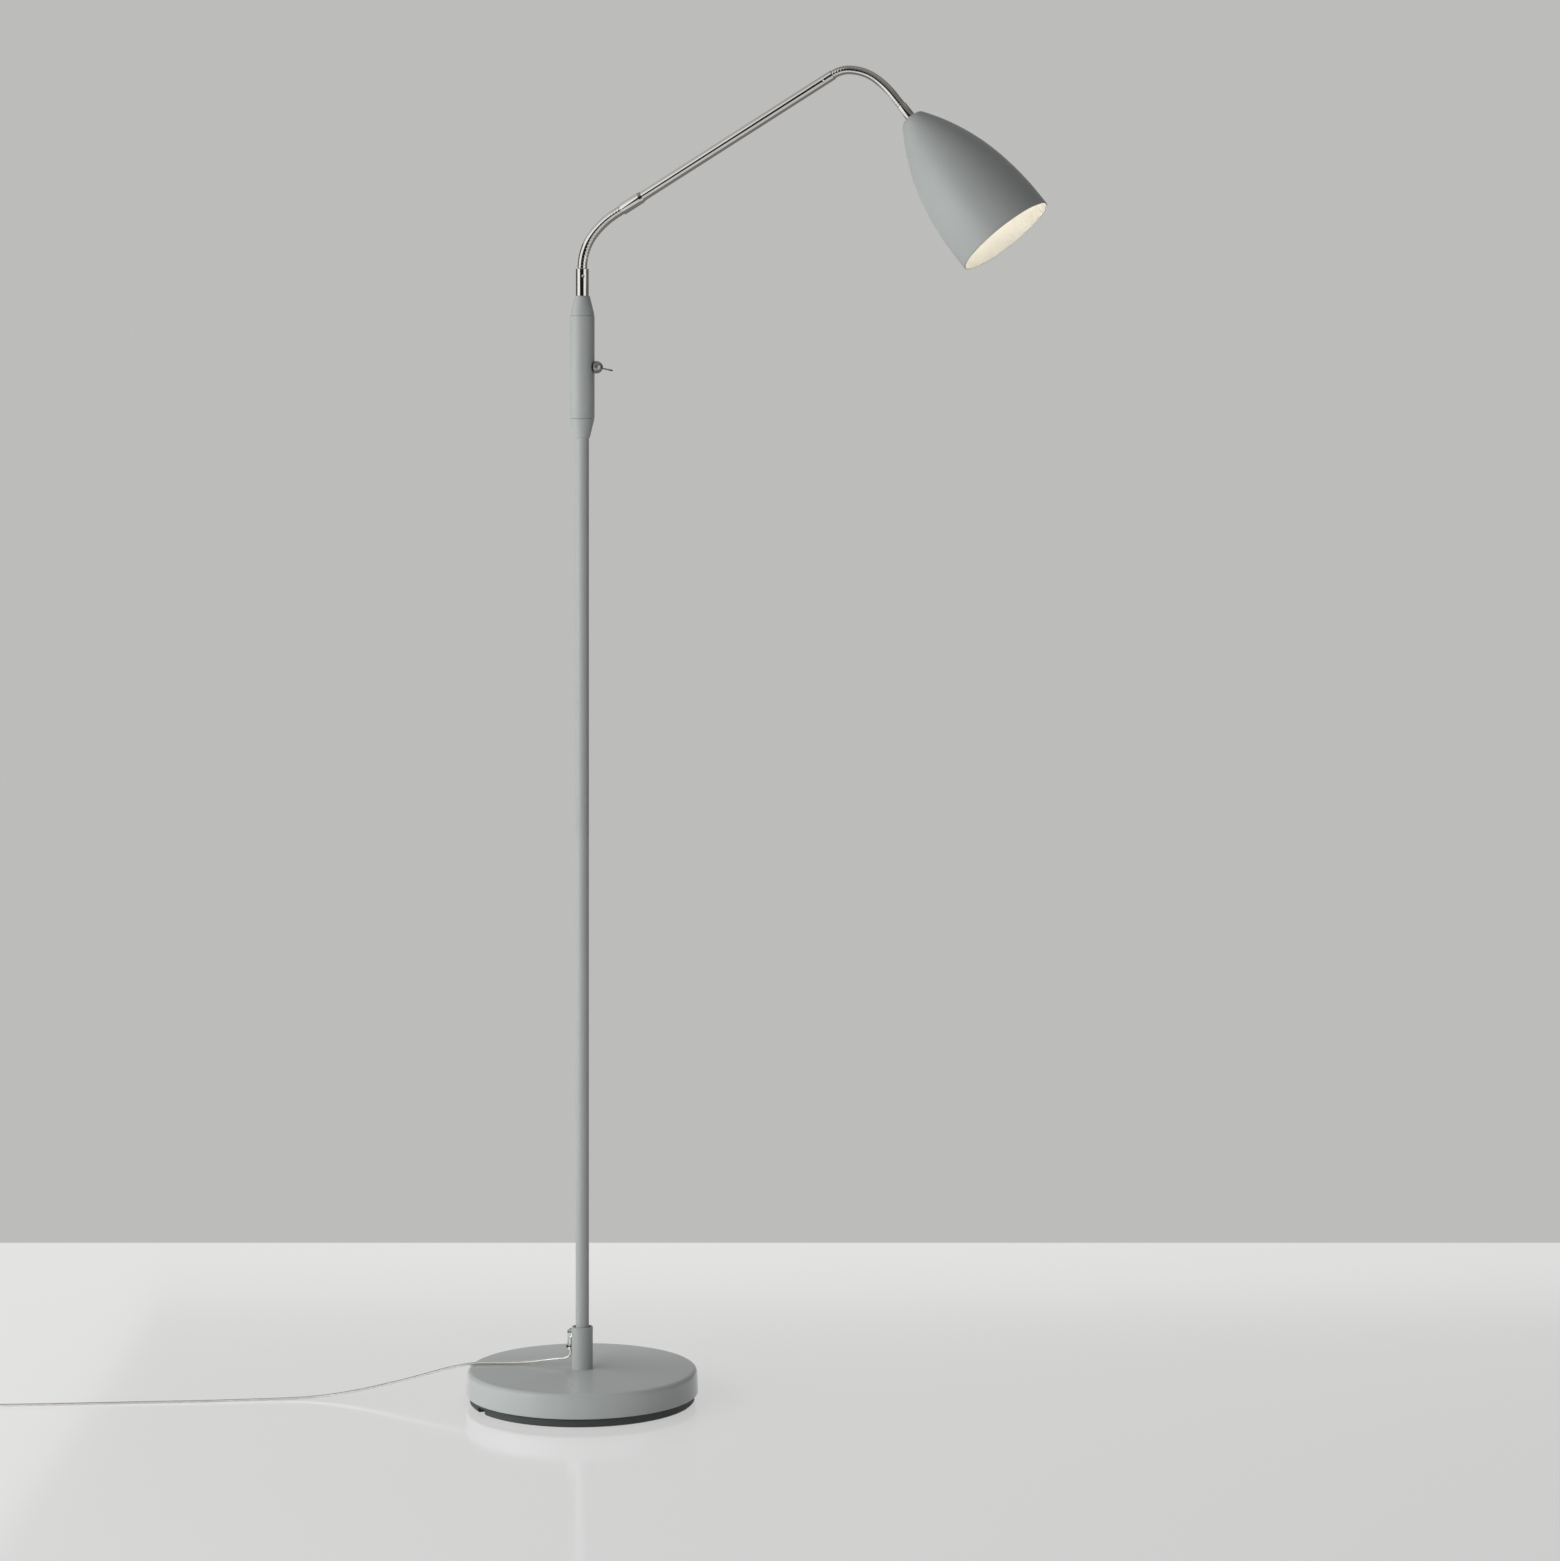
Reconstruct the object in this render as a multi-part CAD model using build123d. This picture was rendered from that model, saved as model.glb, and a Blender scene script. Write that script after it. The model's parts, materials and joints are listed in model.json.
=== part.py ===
"""A gooseneck reading floor lamp: a weighted round base, a slim pole with a switch housing at its top, a
polished arm held by two goosenecks, and a bell-shaped metal shade over a small bulb. A clear flat cord leaves
the foot of the pole, drops off the base, runs along the floor and ends in a neat coil and a flat plug.

Sizes are millimetres. Z is up, the pole stands on the Z axis and the arm reaches towards +X in the XZ plane.
"""

import math
import os

from build123d import *

# ---------------------------------------------------------------- driving sizes
# Fits
fit = 0.05  # radial clearance of pieces that slide into each other and are fixed there
seam = 0.3  # shadow gap between turned pieces
wall_through = 30.0  # how far a cutting bar reaches past what it cuts

# Base
base_r = 113.0  # of the cover, at its lower edge
base_draft = 0.8  # how much the cover's side leans in
base_top = 32.0
cover_low = 8.4
cover_wall = 2.0
cover_round = 4.5
cover_lip = 0.6
plate_inset = 3.5  # of the bottom plate's rim from the cover's edge
plate_top = 8.0  # the dark bottom plate shows as a band under the cover
plate_bevel = 1.5
plate_notch = (14.0, 12.0, 5.0)  # cable notch in the plate's rim: width, depth inwards, height
plate_notch_turn = 228.0  # degrees about Z from +X
weight_gap = 1.0  # between the iron weight and the cover's side
well_r = 14.0  # round the stem's nut, in plate and weight
well_floor = 4.0
well_top = 17.0
stem_r = 5.0  # M10 lamp stem, hollow
stem_bore = 3.6
stem_grip = 12.0  # how far a stem reaches into a tube's end
stem_play = 1.0  # of the upper stem, short of the end of its thread
stem_past = 2.0  # how far a stem stands out of its nut
washer_r = 11.0
washer_height = 1.5
nut_across = 14.0
nut_height = 5.0

# Pole and its foot
foot_r = 10.25
foot_wall = 1.75
foot_height = 40.5
foot_floor = 10.0
foot_bevel = 0.4
pole_r = 6.5
pole_wall = 2.0
pole_top = 951.0

# The lead's way from the clamp into the pole
lead_turn_in = 12.5  # height above the clamp's lower end where it turns inwards
lead_climb = 7.5  # rise while it crosses both walls
slot_play = 0.5  # on each side of the lead in its slots

# Cord clamp on the back of the foot
clamp_half_width = 5.6
clamp_reach = 3.5  # out from the foot's wall
clamp_depth = 8.0
clamp_low = 50.0
clamp_high = 69.5
clamp_bevel = 0.8
clamp_roof = 2.0
clamp_screw_r = 0.9
clamp_screw_past = 0.6  # how far the screws reach through the foot's wall
clamp_screw_side = 3.9  # sideways from the middle
clamp_screw_heights = (66.0, 53.0)
clamp_head_r = 1.7
clamp_head_height = 1.0
clamp_head_bevel = 0.4
clamp_head_slot = (0.5, 0.4)  # width and depth

# Switch housing
housing_r = 12.0
housing_wall = 1.2
cone_r = 7.3  # of the cones' small ends
cone_height = 19.0
cone_overlap = 11.0  # how far the lower cone reaches down over the pole
cone_floor = 4.0
housing_height = 100.5  # between the cones
spigot_height = 7.0
spigot_wall = 1.25
cone_web = 2.0  # between the upper cone's hollow and the ferrule's spigot
cone_hollow = (2.0, 6.0)  # how much the upper cone's hollow narrows, and over what height

# Toggle switch on the arm's side of the housing
switch_drop = 50.5  # below the housing's top
switch_case_size = (13.0, 12.0, 24.0)
switch_case_front = 8.8  # distance of its front face from the pole's axis
switch_case_bevel = 1.0
bushing_r = 3.0
bushing_bore = 2.3
bushing_tip = 17.5
switch_washer_r = 4.7
switch_washer_tip = 13.7
switch_washer_saddle = 2.0  # how far its sides reach round the housing
dome_r = 6.15
dome_skirt = 1.1
dome_bore_depth = 4.0
lever_pivot = 15.5
lever_tip = 31.8
lever_r = 0.9
lever_tail = (0.7, 4.0)  # radius and length behind the ball
lever_ball_r = 2.0
lever_tilt = 12.0  # degrees below level, as the lamp stands

# Ferrules
lower_ferrule_r = 6.45
lower_ferrule_length = 26.7
lower_spigot = 8.0
ferrule_bevel = 0.4
neck_grip = 12.0  # length of neck inside a ferrule
lead_bore = 2.9
dimple_r = 1.2
dimple_depth = 0.45
dimple_drop = 7.4  # below the mouth
dimple_turn = -63.0  # degrees about Z from +X
arm_ferrule_r = 6.0
arm_ferrule_length = 24.5
arm_ferrule_taper = (3.0, 0.7)  # length and depth at its far end
arm_web = 1.5  # between the neck's seat and the arm tube
arm_r = 5.0
arm_wall = 0.6
arm_length = 249.0  # from the lower neck's end to the tube's mouth
arm_dimple_drop = 10.8  # of the second dimple, from the tube's mouth
shade_ferrule_r = 4.95
shade_ferrule_length = 15.0
shade_thread_r = 4.0
shade_thread_length = 12.0

# Goosenecks: bends along each, as (radius, turn in degrees), then a straight end
lower_bends = ((54.0, 40.0), (85.0, 19.6))
lower_end = 8.0
lower_crest_r = 4.9
lower_ribs = 20
upper_bends = ((30.6, 33.4), (48.6, 33.0), (89.6, 14.7))
upper_end = 13.5
upper_crest_r = 4.35
upper_bore = 2.5
upper_ribs = 28
rib_depth = 0.42
crest_share = 0.36  # of a rib's pitch
neck_sides = 16
joint_gap = 0.96  # slack between the turns at each bending point
stub_ribs = 2
lower_ribs_per_link = 2
upper_ribs_per_link = 3
lower_bend_range = (-59.6, 50.0)  # degrees from rest: up until straight, and well down
upper_bend_range = (-81.1, 40.0)
side_range = (-44.0, 44.0)

# Shade, distances from its top along its axis
shade_length = 147.5
shade_rim_r = 49.5
shade_wall = 1.2
shade_straight = 12.5  # cylindrical length at the rim
shade_waist = (44.2, 80.0)  # radius and distance
shade_shoulder = (12.9, 3.5)
shade_crown_r = 7.0

# Lampholder and bulb, distances from the shade's top along its axis
locknut_across = 10.0
locknut_height = 3.0
holder_cap_r = 10.5
holder_cap_wall = 2.0
holder_cap_bevel = 2.5
holder_cap_lap = 3.0  # of the cap over the body's top
holder_cap = (5.0, 16.0)
holder_r = 13.0
holder_skirt_r = 12.2
holder_band = (20.0, 23.0)
holder_step = 1.0  # slope under the band
holder_bevel = 0.8
holder_end = 44.0
holder_socket_depth = 22.0
bulb_cap_r = 7.0
bulb_contact = (3.0, 3.0)  # radius and height of the cap's tapered tip
bulb_neck_r = 9.5
bulb_r = 22.0
bulb_end = 104.0
lead_r = 2.1

# Cord: a flat twin lead, with its route's bends from the clamp to the coil
cord_width = 4.4
cord_thick = 2.2
cord_flat = 2.8  # width of its flat faces
cord_exit_gap = 0.25  # between the foot's wall and the clamped cord
cord_route = (
    (-16.6, 0.0, 40.4),
    (-26.5, 0.0, 39.3),
    (-40.0, -0.7, 37.0),
    (-58.0, -4.1, 34.3),
    (-80.5, -10.8, 33.5),
    (-104.4, -21.5, 34.4),
    (-129.2, -32.7, 29.7),
    (-160.9, -45.1, 20.4),
    (-190.9, -56.4, 13.0),
    (-221.9, -67.9, 6.4),
    (-257.6, -81.0, 1.9),
    (-300.2, -98.8, 1.2),
    (-347.5, -121.3, 1.15),
    (-399.4, -142.8, 1.2),
    (-453.0, -165.7, 1.15),
    (-507.6, -188.7, 1.2),
    (-548.5, -204.9, 1.15),
)
coil_start = (-583.7, -216.5, 1.15)
cord_drop = 5.8  # straight out of the clamp

# Coil of the put-away length
coil_r = 35.0
coil_gap = 0.8  # between neighbouring turns
turns_in = 4.0
turns_climb = 0.5
turns_out = 3.75
gap_needed = 0.4
gap_points = 1200

# Flat two-pin plug
tail_length = 24.0
plug_axis_height = 6.9
sleeve_length = 22.0
sleeve_small_r = 3.1
sleeve_large_r = 4.6
sleeve_bevel = 0.6
plug_length = 36.0
plug_shoulder = 0.55  # share of its length that widens
plug_back = (15.0, 10.5)  # width and thickness at the cord's end
plug_front = (35.0, 13.6)
plug_round = 3.0
pin_r = 2.0
pin_length = 19.0
pin_bevel = 0.7
pin_spacing = 18.6

# ---------------------------------------------------------------- worked-out sizes
cover_top_r = base_r - base_draft
cover_under = base_top - cover_wall
plate_r = base_r - plate_inset
stem_hole = stem_r + fit
pole_bottom = base_top + foot_floor
foot_top = base_top + foot_height
housing_bottom = pole_top - cone_overlap + cone_height
housing_top = housing_bottom + housing_height
upper_cone_top = housing_top + cone_height
switch_height = housing_top - switch_drop
lower_mouth = upper_cone_top + lower_ferrule_length
spigot_r = housing_r - housing_wall - fit
cord_out = foot_r + cord_exit_gap + cord_thick / 2  # distance of the clamped cord from the pole's axis
arm_seat = neck_grip + arm_web
pitch = cord_width + coil_gap
layer = cord_thick + coil_gap
coil_turns = turns_in + turns_climb + turns_out
last_run = [end - before for before, end in zip(cord_route[-1], coil_start)]
coil_heading = math.atan2(last_run[1], last_run[0]) - math.atan(pitch / (2 * math.pi * coil_r))


# ---------------------------------------------------------------- helpers
def outline(points):
    """A closed face through points of radius and height; a third number bevels that corner by so much."""
    face = make_face(Polyline([point[:2] for point in points], close=True))
    for point in points:
        if len(point) == 3:
            corner = face.vertices().sort_by_distance((*point[:2], 0))[0]
            face = chamfer(corner, point[2])
    return face


def rounded(face, r, z, radius):
    """The face with its corner at (r, z) rounded."""
    return fillet(face.vertices().sort_by_distance((r, z, 0))[0], radius)


def lathe(face):
    """A piece turned about Z from a face of radius and height."""
    return revolve(Plane.XZ * face, Axis.Z)


def turned(points):
    """A piece turned about Z from the points of its outline."""
    return lathe(outline(points))


def tube(r_out, r_in, low, high):
    """A plain tube about Z."""
    return turned([(r_in, low), (r_out, low), (r_out, high), (r_in, high)])


def rod(r, low, high):
    """A plain round bar about Z."""
    return Pos(0, 0, (low + high) / 2) * Cylinder(r, high - low)


def hex_nut(across, height, bore, low):
    """A hexagon nut about Z."""
    body = extrude(RegularPolygon(across / 2, 6, major_radius=False), height)
    return Pos(0, 0, low) * (body - rod(bore, 0, height))


def along(x, z, heading):
    """The plane square to a heading in the XZ plane, in degrees above +X, with its X axis along Y."""
    angle = math.radians(heading)
    return Plane(origin=(x, 0, z), x_dir=(0, 1, 0), z_dir=(math.cos(angle), 0, math.sin(angle)))


def place_on(start, heading, bends, s):
    """Point and heading at distance s along bends that all turn down, and straight before and after them."""
    x, z = start
    for radius, turn in bends:
        reach = min(max(s, 0.0), radius * math.radians(turn))
        after = heading - math.degrees(reach / radius)
        x += radius * (math.sin(math.radians(heading)) - math.sin(math.radians(after)))
        z += radius * (math.cos(math.radians(after)) - math.cos(math.radians(heading)))
        heading = after
        s -= reach
    angle = math.radians(heading)
    return x + s * math.cos(angle), z + s * math.sin(angle), heading


# ---------------------------------------------------------------- goosenecks
class Neck:
    """One gooseneck: its path, its ribs, and the bending points that split it into links."""

    def __init__(self, name, start, bends, end, crest_r, bore, ribs, per_link, bend_range):
        self.name = name
        self.start = start[:2]
        self.heading = start[2]
        self.bends = bends
        self.length = sum(radius * math.radians(turn) for radius, turn in bends) + end
        self.crest_r = crest_r
        self.root_r = crest_r - rib_depth
        self.bore = bore
        self.ribs = ribs
        self.pitch = self.length / ribs
        self.marks = range(stub_ribs, ribs - stub_ribs + 1, per_link)
        self.kinds = ["side" if k % 2 else "bend" for k in range(len(self.marks))]
        self.ranges = {"bend": bend_range, "side": side_range}

    def at(self, s):
        """Point and heading at distance s along the neck."""
        return place_on(self.start, self.heading, self.bends, s)

    def hinge_range(self, k):
        """Share of the neck's range that bending point k takes."""
        kind = self.kinds[k]
        return [limit / self.kinds.count(kind) for limit in self.ranges[kind]]

    def hinge(self, k):
        """Centre and axis of bending point k."""
        x, z, heading = self.at(self.marks[k] * self.pitch)
        angle = math.radians(heading)
        axis = (0.0, 1.0, 0.0) if self.kinds[k] == "bend" else (-math.sin(angle), 0.0, math.cos(angle))
        return (x, 0.0, z), axis

    def lean(self, k):
        """Lean of each face at bending point k, so that the two stand parallel in mid range."""
        return sum(self.hinge_range(k)) / 4

    def rib_rings(self, first, last):
        """(distance, radius, lean) of the rings between rib first and rib last, without the two ends."""
        half = crest_share * self.pitch / 2
        found = []
        for rib in range(first, last):
            middle = (rib + 0.5) * self.pitch
            if rib > first:
                found.append((rib * self.pitch, self.root_r, 0.0))
            found.append((middle - half, self.crest_r, 0.0))
            found.append((middle + half, self.crest_r, 0.0))
        return found

    def solid(self, rings):
        """A ribbed, bored length of neck through its rings."""
        ribbed, bored = [], []
        for s, radius, lean in rings:
            x, z, heading = self.at(s)
            plane = along(x, z, heading + lean)
            ribbed.append(plane * RegularPolygon(radius, neck_sides))
            if radius == self.root_r or s in (rings[0][0], rings[-1][0]):
                bored.append(plane * RegularPolygon(self.bore, neck_sides))
        return loft(ribbed, ruled=True) - loft(bored, ruled=True)

    def pieces(self):
        """The stub held in each ferrule and the links between them, by name."""
        half = joint_gap / 2
        places = [mark * self.pitch for mark in self.marks]
        last = len(places) - 1
        before = [(place - half, self.root_r, -self.lean(k)) for k, place in enumerate(places)]
        after = [(place + half, self.root_r, self.lean(k)) for k, place in enumerate(places)]
        mouth = self.pitch / 3
        root = [(-neck_grip, self.crest_r, 0.0), (-mouth, self.crest_r, 0.0), (0.0, self.root_r, 0.0)]
        tip = [(self.length, self.root_r, 0.0), (self.length + mouth, self.crest_r, 0.0),
               (self.length + neck_grip, self.crest_r, 0.0)]
        named = {f"{self.name}_neck_root": self.solid(root + self.rib_rings(0, self.marks[0]) + [before[0]])}
        for k in range(last):
            ribs = self.rib_rings(self.marks[k], self.marks[k + 1])
            named[f"{self.name}_neck_link_{k + 1}"] = self.solid([after[k]] + ribs + [before[k + 1]])
        ribs = self.rib_rings(self.marks[last], self.ribs)
        named[f"{self.name}_neck_tip"] = self.solid([after[last]] + ribs + tip)
        return named


lower_neck = Neck("lower", (0.0, lower_mouth, 90.0), lower_bends, lower_end, lower_crest_r, lead_bore,
                  lower_ribs, lower_ribs_per_link, lower_bend_range)
arm_start = lower_neck.at(lower_neck.length)
arm_mouth = place_on(arm_start[:2], arm_start[2], (), arm_length)
upper_neck = Neck("upper", arm_mouth, upper_bends, upper_end, upper_crest_r, upper_bore, upper_ribs,
                  upper_ribs_per_link, upper_bend_range)
shade_start = upper_neck.at(upper_neck.length)
shade_top = place_on(shade_start[:2], shade_start[2], (), shade_ferrule_length)


# ---------------------------------------------------------------- base
def base_cover():
    """Painted steel cover with a drafted side and a rounded top edge, open underneath."""
    face = outline([
        (stem_hole, base_top), (cover_top_r, base_top), (base_r, cover_low, cover_lip),
        (base_r - cover_wall, cover_low), (cover_top_r - cover_wall, cover_under, cover_wall),
        (stem_hole, cover_under),
    ])
    return lathe(rounded(face, cover_top_r, base_top, cover_round))


def base_weight():
    """Cast iron disc inside the cover, with a well for the stem's nut."""
    side = cover_top_r - cover_wall - weight_gap
    return turned([
        (stem_hole, cover_under), (side, cover_under, cover_round), (side, plate_top), (well_r, plate_top),
        (well_r, well_top), (stem_hole, well_top),
    ])


def base_bottom_plate():
    """Dark plate that the lamp stands on, with a cable notch in its rim and a well under the stem."""
    plate = turned([(0, 0), (plate_r, 0, plate_bevel), (plate_r, plate_top), (well_r, plate_top),
                    (well_r, well_floor), (0, well_floor)])
    width, depth, height = plate_notch
    notch = Pos(plate_r, 0, 0) * Box(2 * depth, width, 2 * height)
    return plate - Rot(0, 0, plate_notch_turn) * notch


def base_stem():
    """Hollow threaded stem that ties weight, cover and foot to the pole."""
    low = well_top - washer_height - nut_height - stem_past
    return tube(stem_r, stem_bore, low, pole_bottom + stem_grip)


def base_washer():
    """Washer under the weight."""
    return tube(washer_r, stem_hole, well_top - washer_height, well_top)


def base_nut():
    """Hexagon nut on the stem, which pulls the foot and the weight together."""
    return hex_nut(nut_across, nut_height, stem_hole, well_top - washer_height - nut_height)


# ---------------------------------------------------------------- foot, pole and cord clamp
def lead_points():
    """Bends of the lead, from the clamp through both slots into the pole and up to the switch."""
    inward = clamp_low + lead_turn_in
    upward = inward + lead_climb
    case_low = switch_height - switch_case_size[2] / 2 - fit
    return [(-cord_out, 0, clamp_low), (-cord_out, 0, inward), (0, 0, upward), (0, 0, case_low)]


def wall_slot(radius):
    """Slot through the back of a tube, centred where the lead crosses that radius."""
    start, inward, upward, top = lead_points()
    height = inward[2] + (cord_out - radius) / cord_out * (upward[2] - inward[2])
    return Pos(-radius, 0, height) * Box(2 * pole_wall, cord_width + 2 * slot_play, 4 * cord_thick)


def pole_foot():
    """Open cup round the pole's foot, with a slot for the lead and holes for the clamp's screws."""
    inside = foot_r - foot_wall
    cup = turned([
        (stem_hole, base_top), (foot_r, base_top), (foot_r, foot_top, foot_bevel),
        (inside, foot_top, foot_bevel), (inside, pole_bottom), (stem_hole, pole_bottom),
    ])
    for hole in clamp_screw_bars(clamp_screw_r + fit):
        cup -= hole
    return cup - wall_slot(foot_r - foot_wall / 2)


def clamp_screw_bars(radius):
    """Bars along X at the two clamp screws, from inside the foot's wall to the clamp's face."""
    bar = Rot(0, -90, 0) * rod(radius, foot_r - foot_wall - clamp_screw_past, foot_r + clamp_reach)
    sides = (clamp_screw_side, -clamp_screw_side)
    return [Pos(0, side, height) * bar for side, height in zip(sides, clamp_screw_heights)]


def cord_clamp():
    """Clear saddle that holds the cord against the foot, hollow along the cord."""
    face = foot_r + clamp_reach
    size = (clamp_depth, 2 * clamp_half_width, clamp_high - clamp_low)
    block = Pos(-face, 0, clamp_low) * Box(*size, align=(Align.MIN, Align.CENTER, Align.MIN))
    block = chamfer(block.faces().sort_by(Axis.X)[0].edges(), clamp_bevel)
    block -= rod(foot_r + fit, 0, clamp_high + wall_through)
    hollow = (cord_out + cord_thick / 2 + 2 * fit, cord_width + 4 * fit, size[2] - clamp_roof)
    block -= Pos(0, 0, clamp_low) * Box(*hollow, align=(Align.MAX, Align.CENTER, Align.MIN))
    for hole in clamp_screw_bars(clamp_screw_r + fit):
        block -= hole
    return block


def clamp_screws():
    """Two dark slotted screws."""
    head = turned([(0, 0), (clamp_head_r, 0), (clamp_head_r, clamp_head_height, clamp_head_bevel),
                   (0, clamp_head_height)])
    width, depth = clamp_head_slot
    head -= Pos(0, 0, clamp_head_height) * Box(3 * clamp_head_r, width, 2 * depth)
    screws = []
    for shank, side, height in zip(clamp_screw_bars(clamp_screw_r), (1, -1), clamp_screw_heights):
        seat = Pos(-foot_r - clamp_reach, side * clamp_screw_side, height)
        screws.append((seat * Rot(0, -90, 0) * head + shank).solid())
    return Compound(screws)


def pole_tube():
    """Painted pole with a slot for the lead, narrowed inside at both ends for the stems."""
    inside = pole_r - pole_wall
    pole = turned([
        (stem_hole, pole_bottom), (pole_r, pole_bottom), (pole_r, pole_top), (stem_hole, pole_top),
        (stem_hole, pole_top - stem_grip), (inside, pole_top - stem_grip), (inside, pole_bottom + stem_grip),
        (stem_hole, pole_bottom + stem_grip),
    ])
    return pole - wall_slot(pole_r - pole_wall / 2)


# ---------------------------------------------------------------- switch housing
def housing_lower_cone():
    """Turned cone on the pole's top, with a spigot inside the housing."""
    floor = pole_top + cone_floor
    inside = spigot_r - spigot_wall
    return turned([
        (pole_r + fit, pole_top - cone_overlap), (cone_r, pole_top - cone_overlap),
        (housing_r, housing_bottom), (spigot_r, housing_bottom), (spigot_r, housing_bottom + spigot_height),
        (inside, housing_bottom + spigot_height), (inside, floor), (stem_hole, floor), (stem_hole, pole_top),
        (pole_r + fit, pole_top),
    ])


def housing_stem():
    """Hollow threaded stem from the pole into the housing."""
    high = pole_top + cone_floor + nut_height + stem_past
    return tube(stem_r, stem_bore, pole_top - stem_grip + stem_play, high)


def housing_nut():
    """Nut that pulls the lower cone down on the pole."""
    return hex_nut(nut_across, nut_height, stem_hole, pole_top + cone_floor)


def housing_tube():
    """Painted tube between the cones, with the switch's hole."""
    body = tube(housing_r, housing_r - housing_wall, housing_bottom + seam, housing_top - seam)
    return body - switch_bar(bushing_r + fit, 0, housing_r + wall_through)


def housing_upper_cone():
    """Turned cone that closes the housing and carries the lower ferrule."""
    floor = upper_cone_top - lower_spigot - cone_web
    inside = spigot_r - spigot_wall
    narrower, height = cone_hollow
    return turned([
        (stem_hole, floor), (inside - narrower, floor - height), (inside, housing_top - spigot_height),
        (spigot_r, housing_top - spigot_height), (spigot_r, housing_top), (housing_r, housing_top),
        (cone_r, upper_cone_top), (stem_hole, upper_cone_top),
    ])


# ---------------------------------------------------------------- toggle switch
def switch_bar(radius, inner, outer):
    """A bar along +X at the switch's height."""
    return Pos(0, 0, switch_height) * Rot(0, 90, 0) * rod(radius, inner, outer)


def switch_case():
    """Moulded switch body inside the housing."""
    case = Pos(switch_case_front, 0, switch_height) * Box(*switch_case_size, align=(Align.MAX, Align.CENTER,
                                                                                      Align.CENTER))
    return chamfer(case.edges().filter_by(Axis.X), switch_case_bevel)


def switch_bushing():
    """Threaded bushing that passes through the housing's wall."""
    bore = switch_bar(bushing_bore, switch_case_front, bushing_tip)
    return switch_bar(bushing_r, switch_case_front, bushing_tip) - bore


def switch_washer():
    """Black washer, saddled to the housing."""
    disc = switch_bar(switch_washer_r, housing_r - switch_washer_saddle, switch_washer_tip)
    disc -= rod(housing_r + fit, 0, housing_top)
    return disc - switch_bar(bushing_r + fit, 0, wall_through)


def switch_dome_nut():
    """Domed nut with a round hole for the lever."""
    high = dome_skirt + dome_r
    profile = outline([(0, 0), (dome_r, 0), (dome_r, high), (0, high)])
    dome = lathe(rounded(profile, dome_r, high, dome_r - fit))
    dome = Pos(switch_washer_tip, 0, switch_height) * Rot(0, 90, 0) * dome
    dome -= switch_bar(bushing_r + fit, 0, switch_washer_tip + dome_bore_depth)
    return dome - switch_bar(bushing_bore, 0, wall_through)


def switch_lever():
    """Small steel lever on a ball, as it stands below level."""
    tail_r, tail = lever_tail
    lever = Sphere(lever_ball_r) + rod(lever_r, 0, lever_tip - lever_pivot) + rod(tail_r, -tail, 0)
    return Pos(lever_pivot, 0, switch_height) * Rot(0, 90 + lever_tilt, 0) * lever


# ---------------------------------------------------------------- ferrules and arm
def dimple(r, height, turn):
    """Ball that presses a dimple into a tube of radius r about Z."""
    return Rot(0, 0, turn) * Pos(r + dimple_r - dimple_depth, 0, height) * Sphere(dimple_r)


def lower_ferrule():
    """Polished ferrule between the housing and the lower neck, crimped by a dimple."""
    seat = lower_mouth - neck_grip
    low = upper_cone_top - lower_spigot
    body = turned([
        (lead_bore, low), (stem_r, low), (stem_r, upper_cone_top), (lower_ferrule_r, upper_cone_top),
        (lower_ferrule_r, lower_mouth, ferrule_bevel), (lower_crest_r + fit, lower_mouth),
        (lower_crest_r + fit, seat), (lead_bore, seat),
    ])
    return body - dimple(lower_ferrule_r, lower_mouth - dimple_drop, dimple_turn)


def arm_ferrule():
    """Polished sleeve that joins the lower neck to the arm."""
    taper, depth = arm_ferrule_taper
    body = turned([
        (lower_crest_r + fit, 0), (arm_ferrule_r, 0, ferrule_bevel),
        (arm_ferrule_r, arm_ferrule_length - taper), (arm_ferrule_r - depth, arm_ferrule_length),
        (arm_r + fit, arm_ferrule_length), (arm_r + fit, arm_seat), (lead_bore, arm_seat),
        (lead_bore, neck_grip), (lower_crest_r + fit, neck_grip),
    ])
    return along(*arm_start) * body


def arm_tube():
    """Polished arm tube, crimped by a dimple on its -Y side near its mouth."""
    body = tube(arm_r, arm_r - arm_wall, arm_seat, arm_length)
    return along(*arm_start) * (body - dimple(arm_r, arm_length - arm_dimple_drop, 180))


def shade_ferrule():
    """Polished end ferrule, with the thread that passes through the shade's top."""
    tip = shade_ferrule_length + shade_thread_length
    body = turned([
        (upper_crest_r + fit, 0), (shade_ferrule_r, 0, ferrule_bevel / 2),
        (shade_ferrule_r, shade_ferrule_length), (shade_thread_r, shade_ferrule_length),
        (shade_thread_r, tip), (upper_bore, tip), (upper_bore, neck_grip), (upper_crest_r + fit, neck_grip),
    ])
    return along(*shade_start) * body


# ---------------------------------------------------------------- shade, lampholder and bulb
def bell(inset):
    """The shade's outside as a solid, moved in by inset and open-ended at the rim."""
    rim_r = shade_rim_r - inset
    waist_r, waist = shade_waist
    shoulder_r, shoulder = shade_shoulder
    side = (rim_r, shade_length - shade_straight)
    straight = Line((rim_r, shade_length), side)
    lower = TangentArc(side, (waist_r - inset, waist), tangent=(0, -1))
    upper = TangentArc(lower @ 1, (shoulder_r - inset, shoulder + inset / 2), tangent=lower % 1)
    crown = Line((0, inset), (shade_crown_r - inset, inset))
    turn_in = TangentArc(crown @ 1, upper @ 1, tangent=(1, 0))
    mouth = Polyline((rim_r, shade_length), (0, shade_length), (0, inset))
    return lathe(make_face([straight, lower, upper, turn_in, crown, mouth]))


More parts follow.
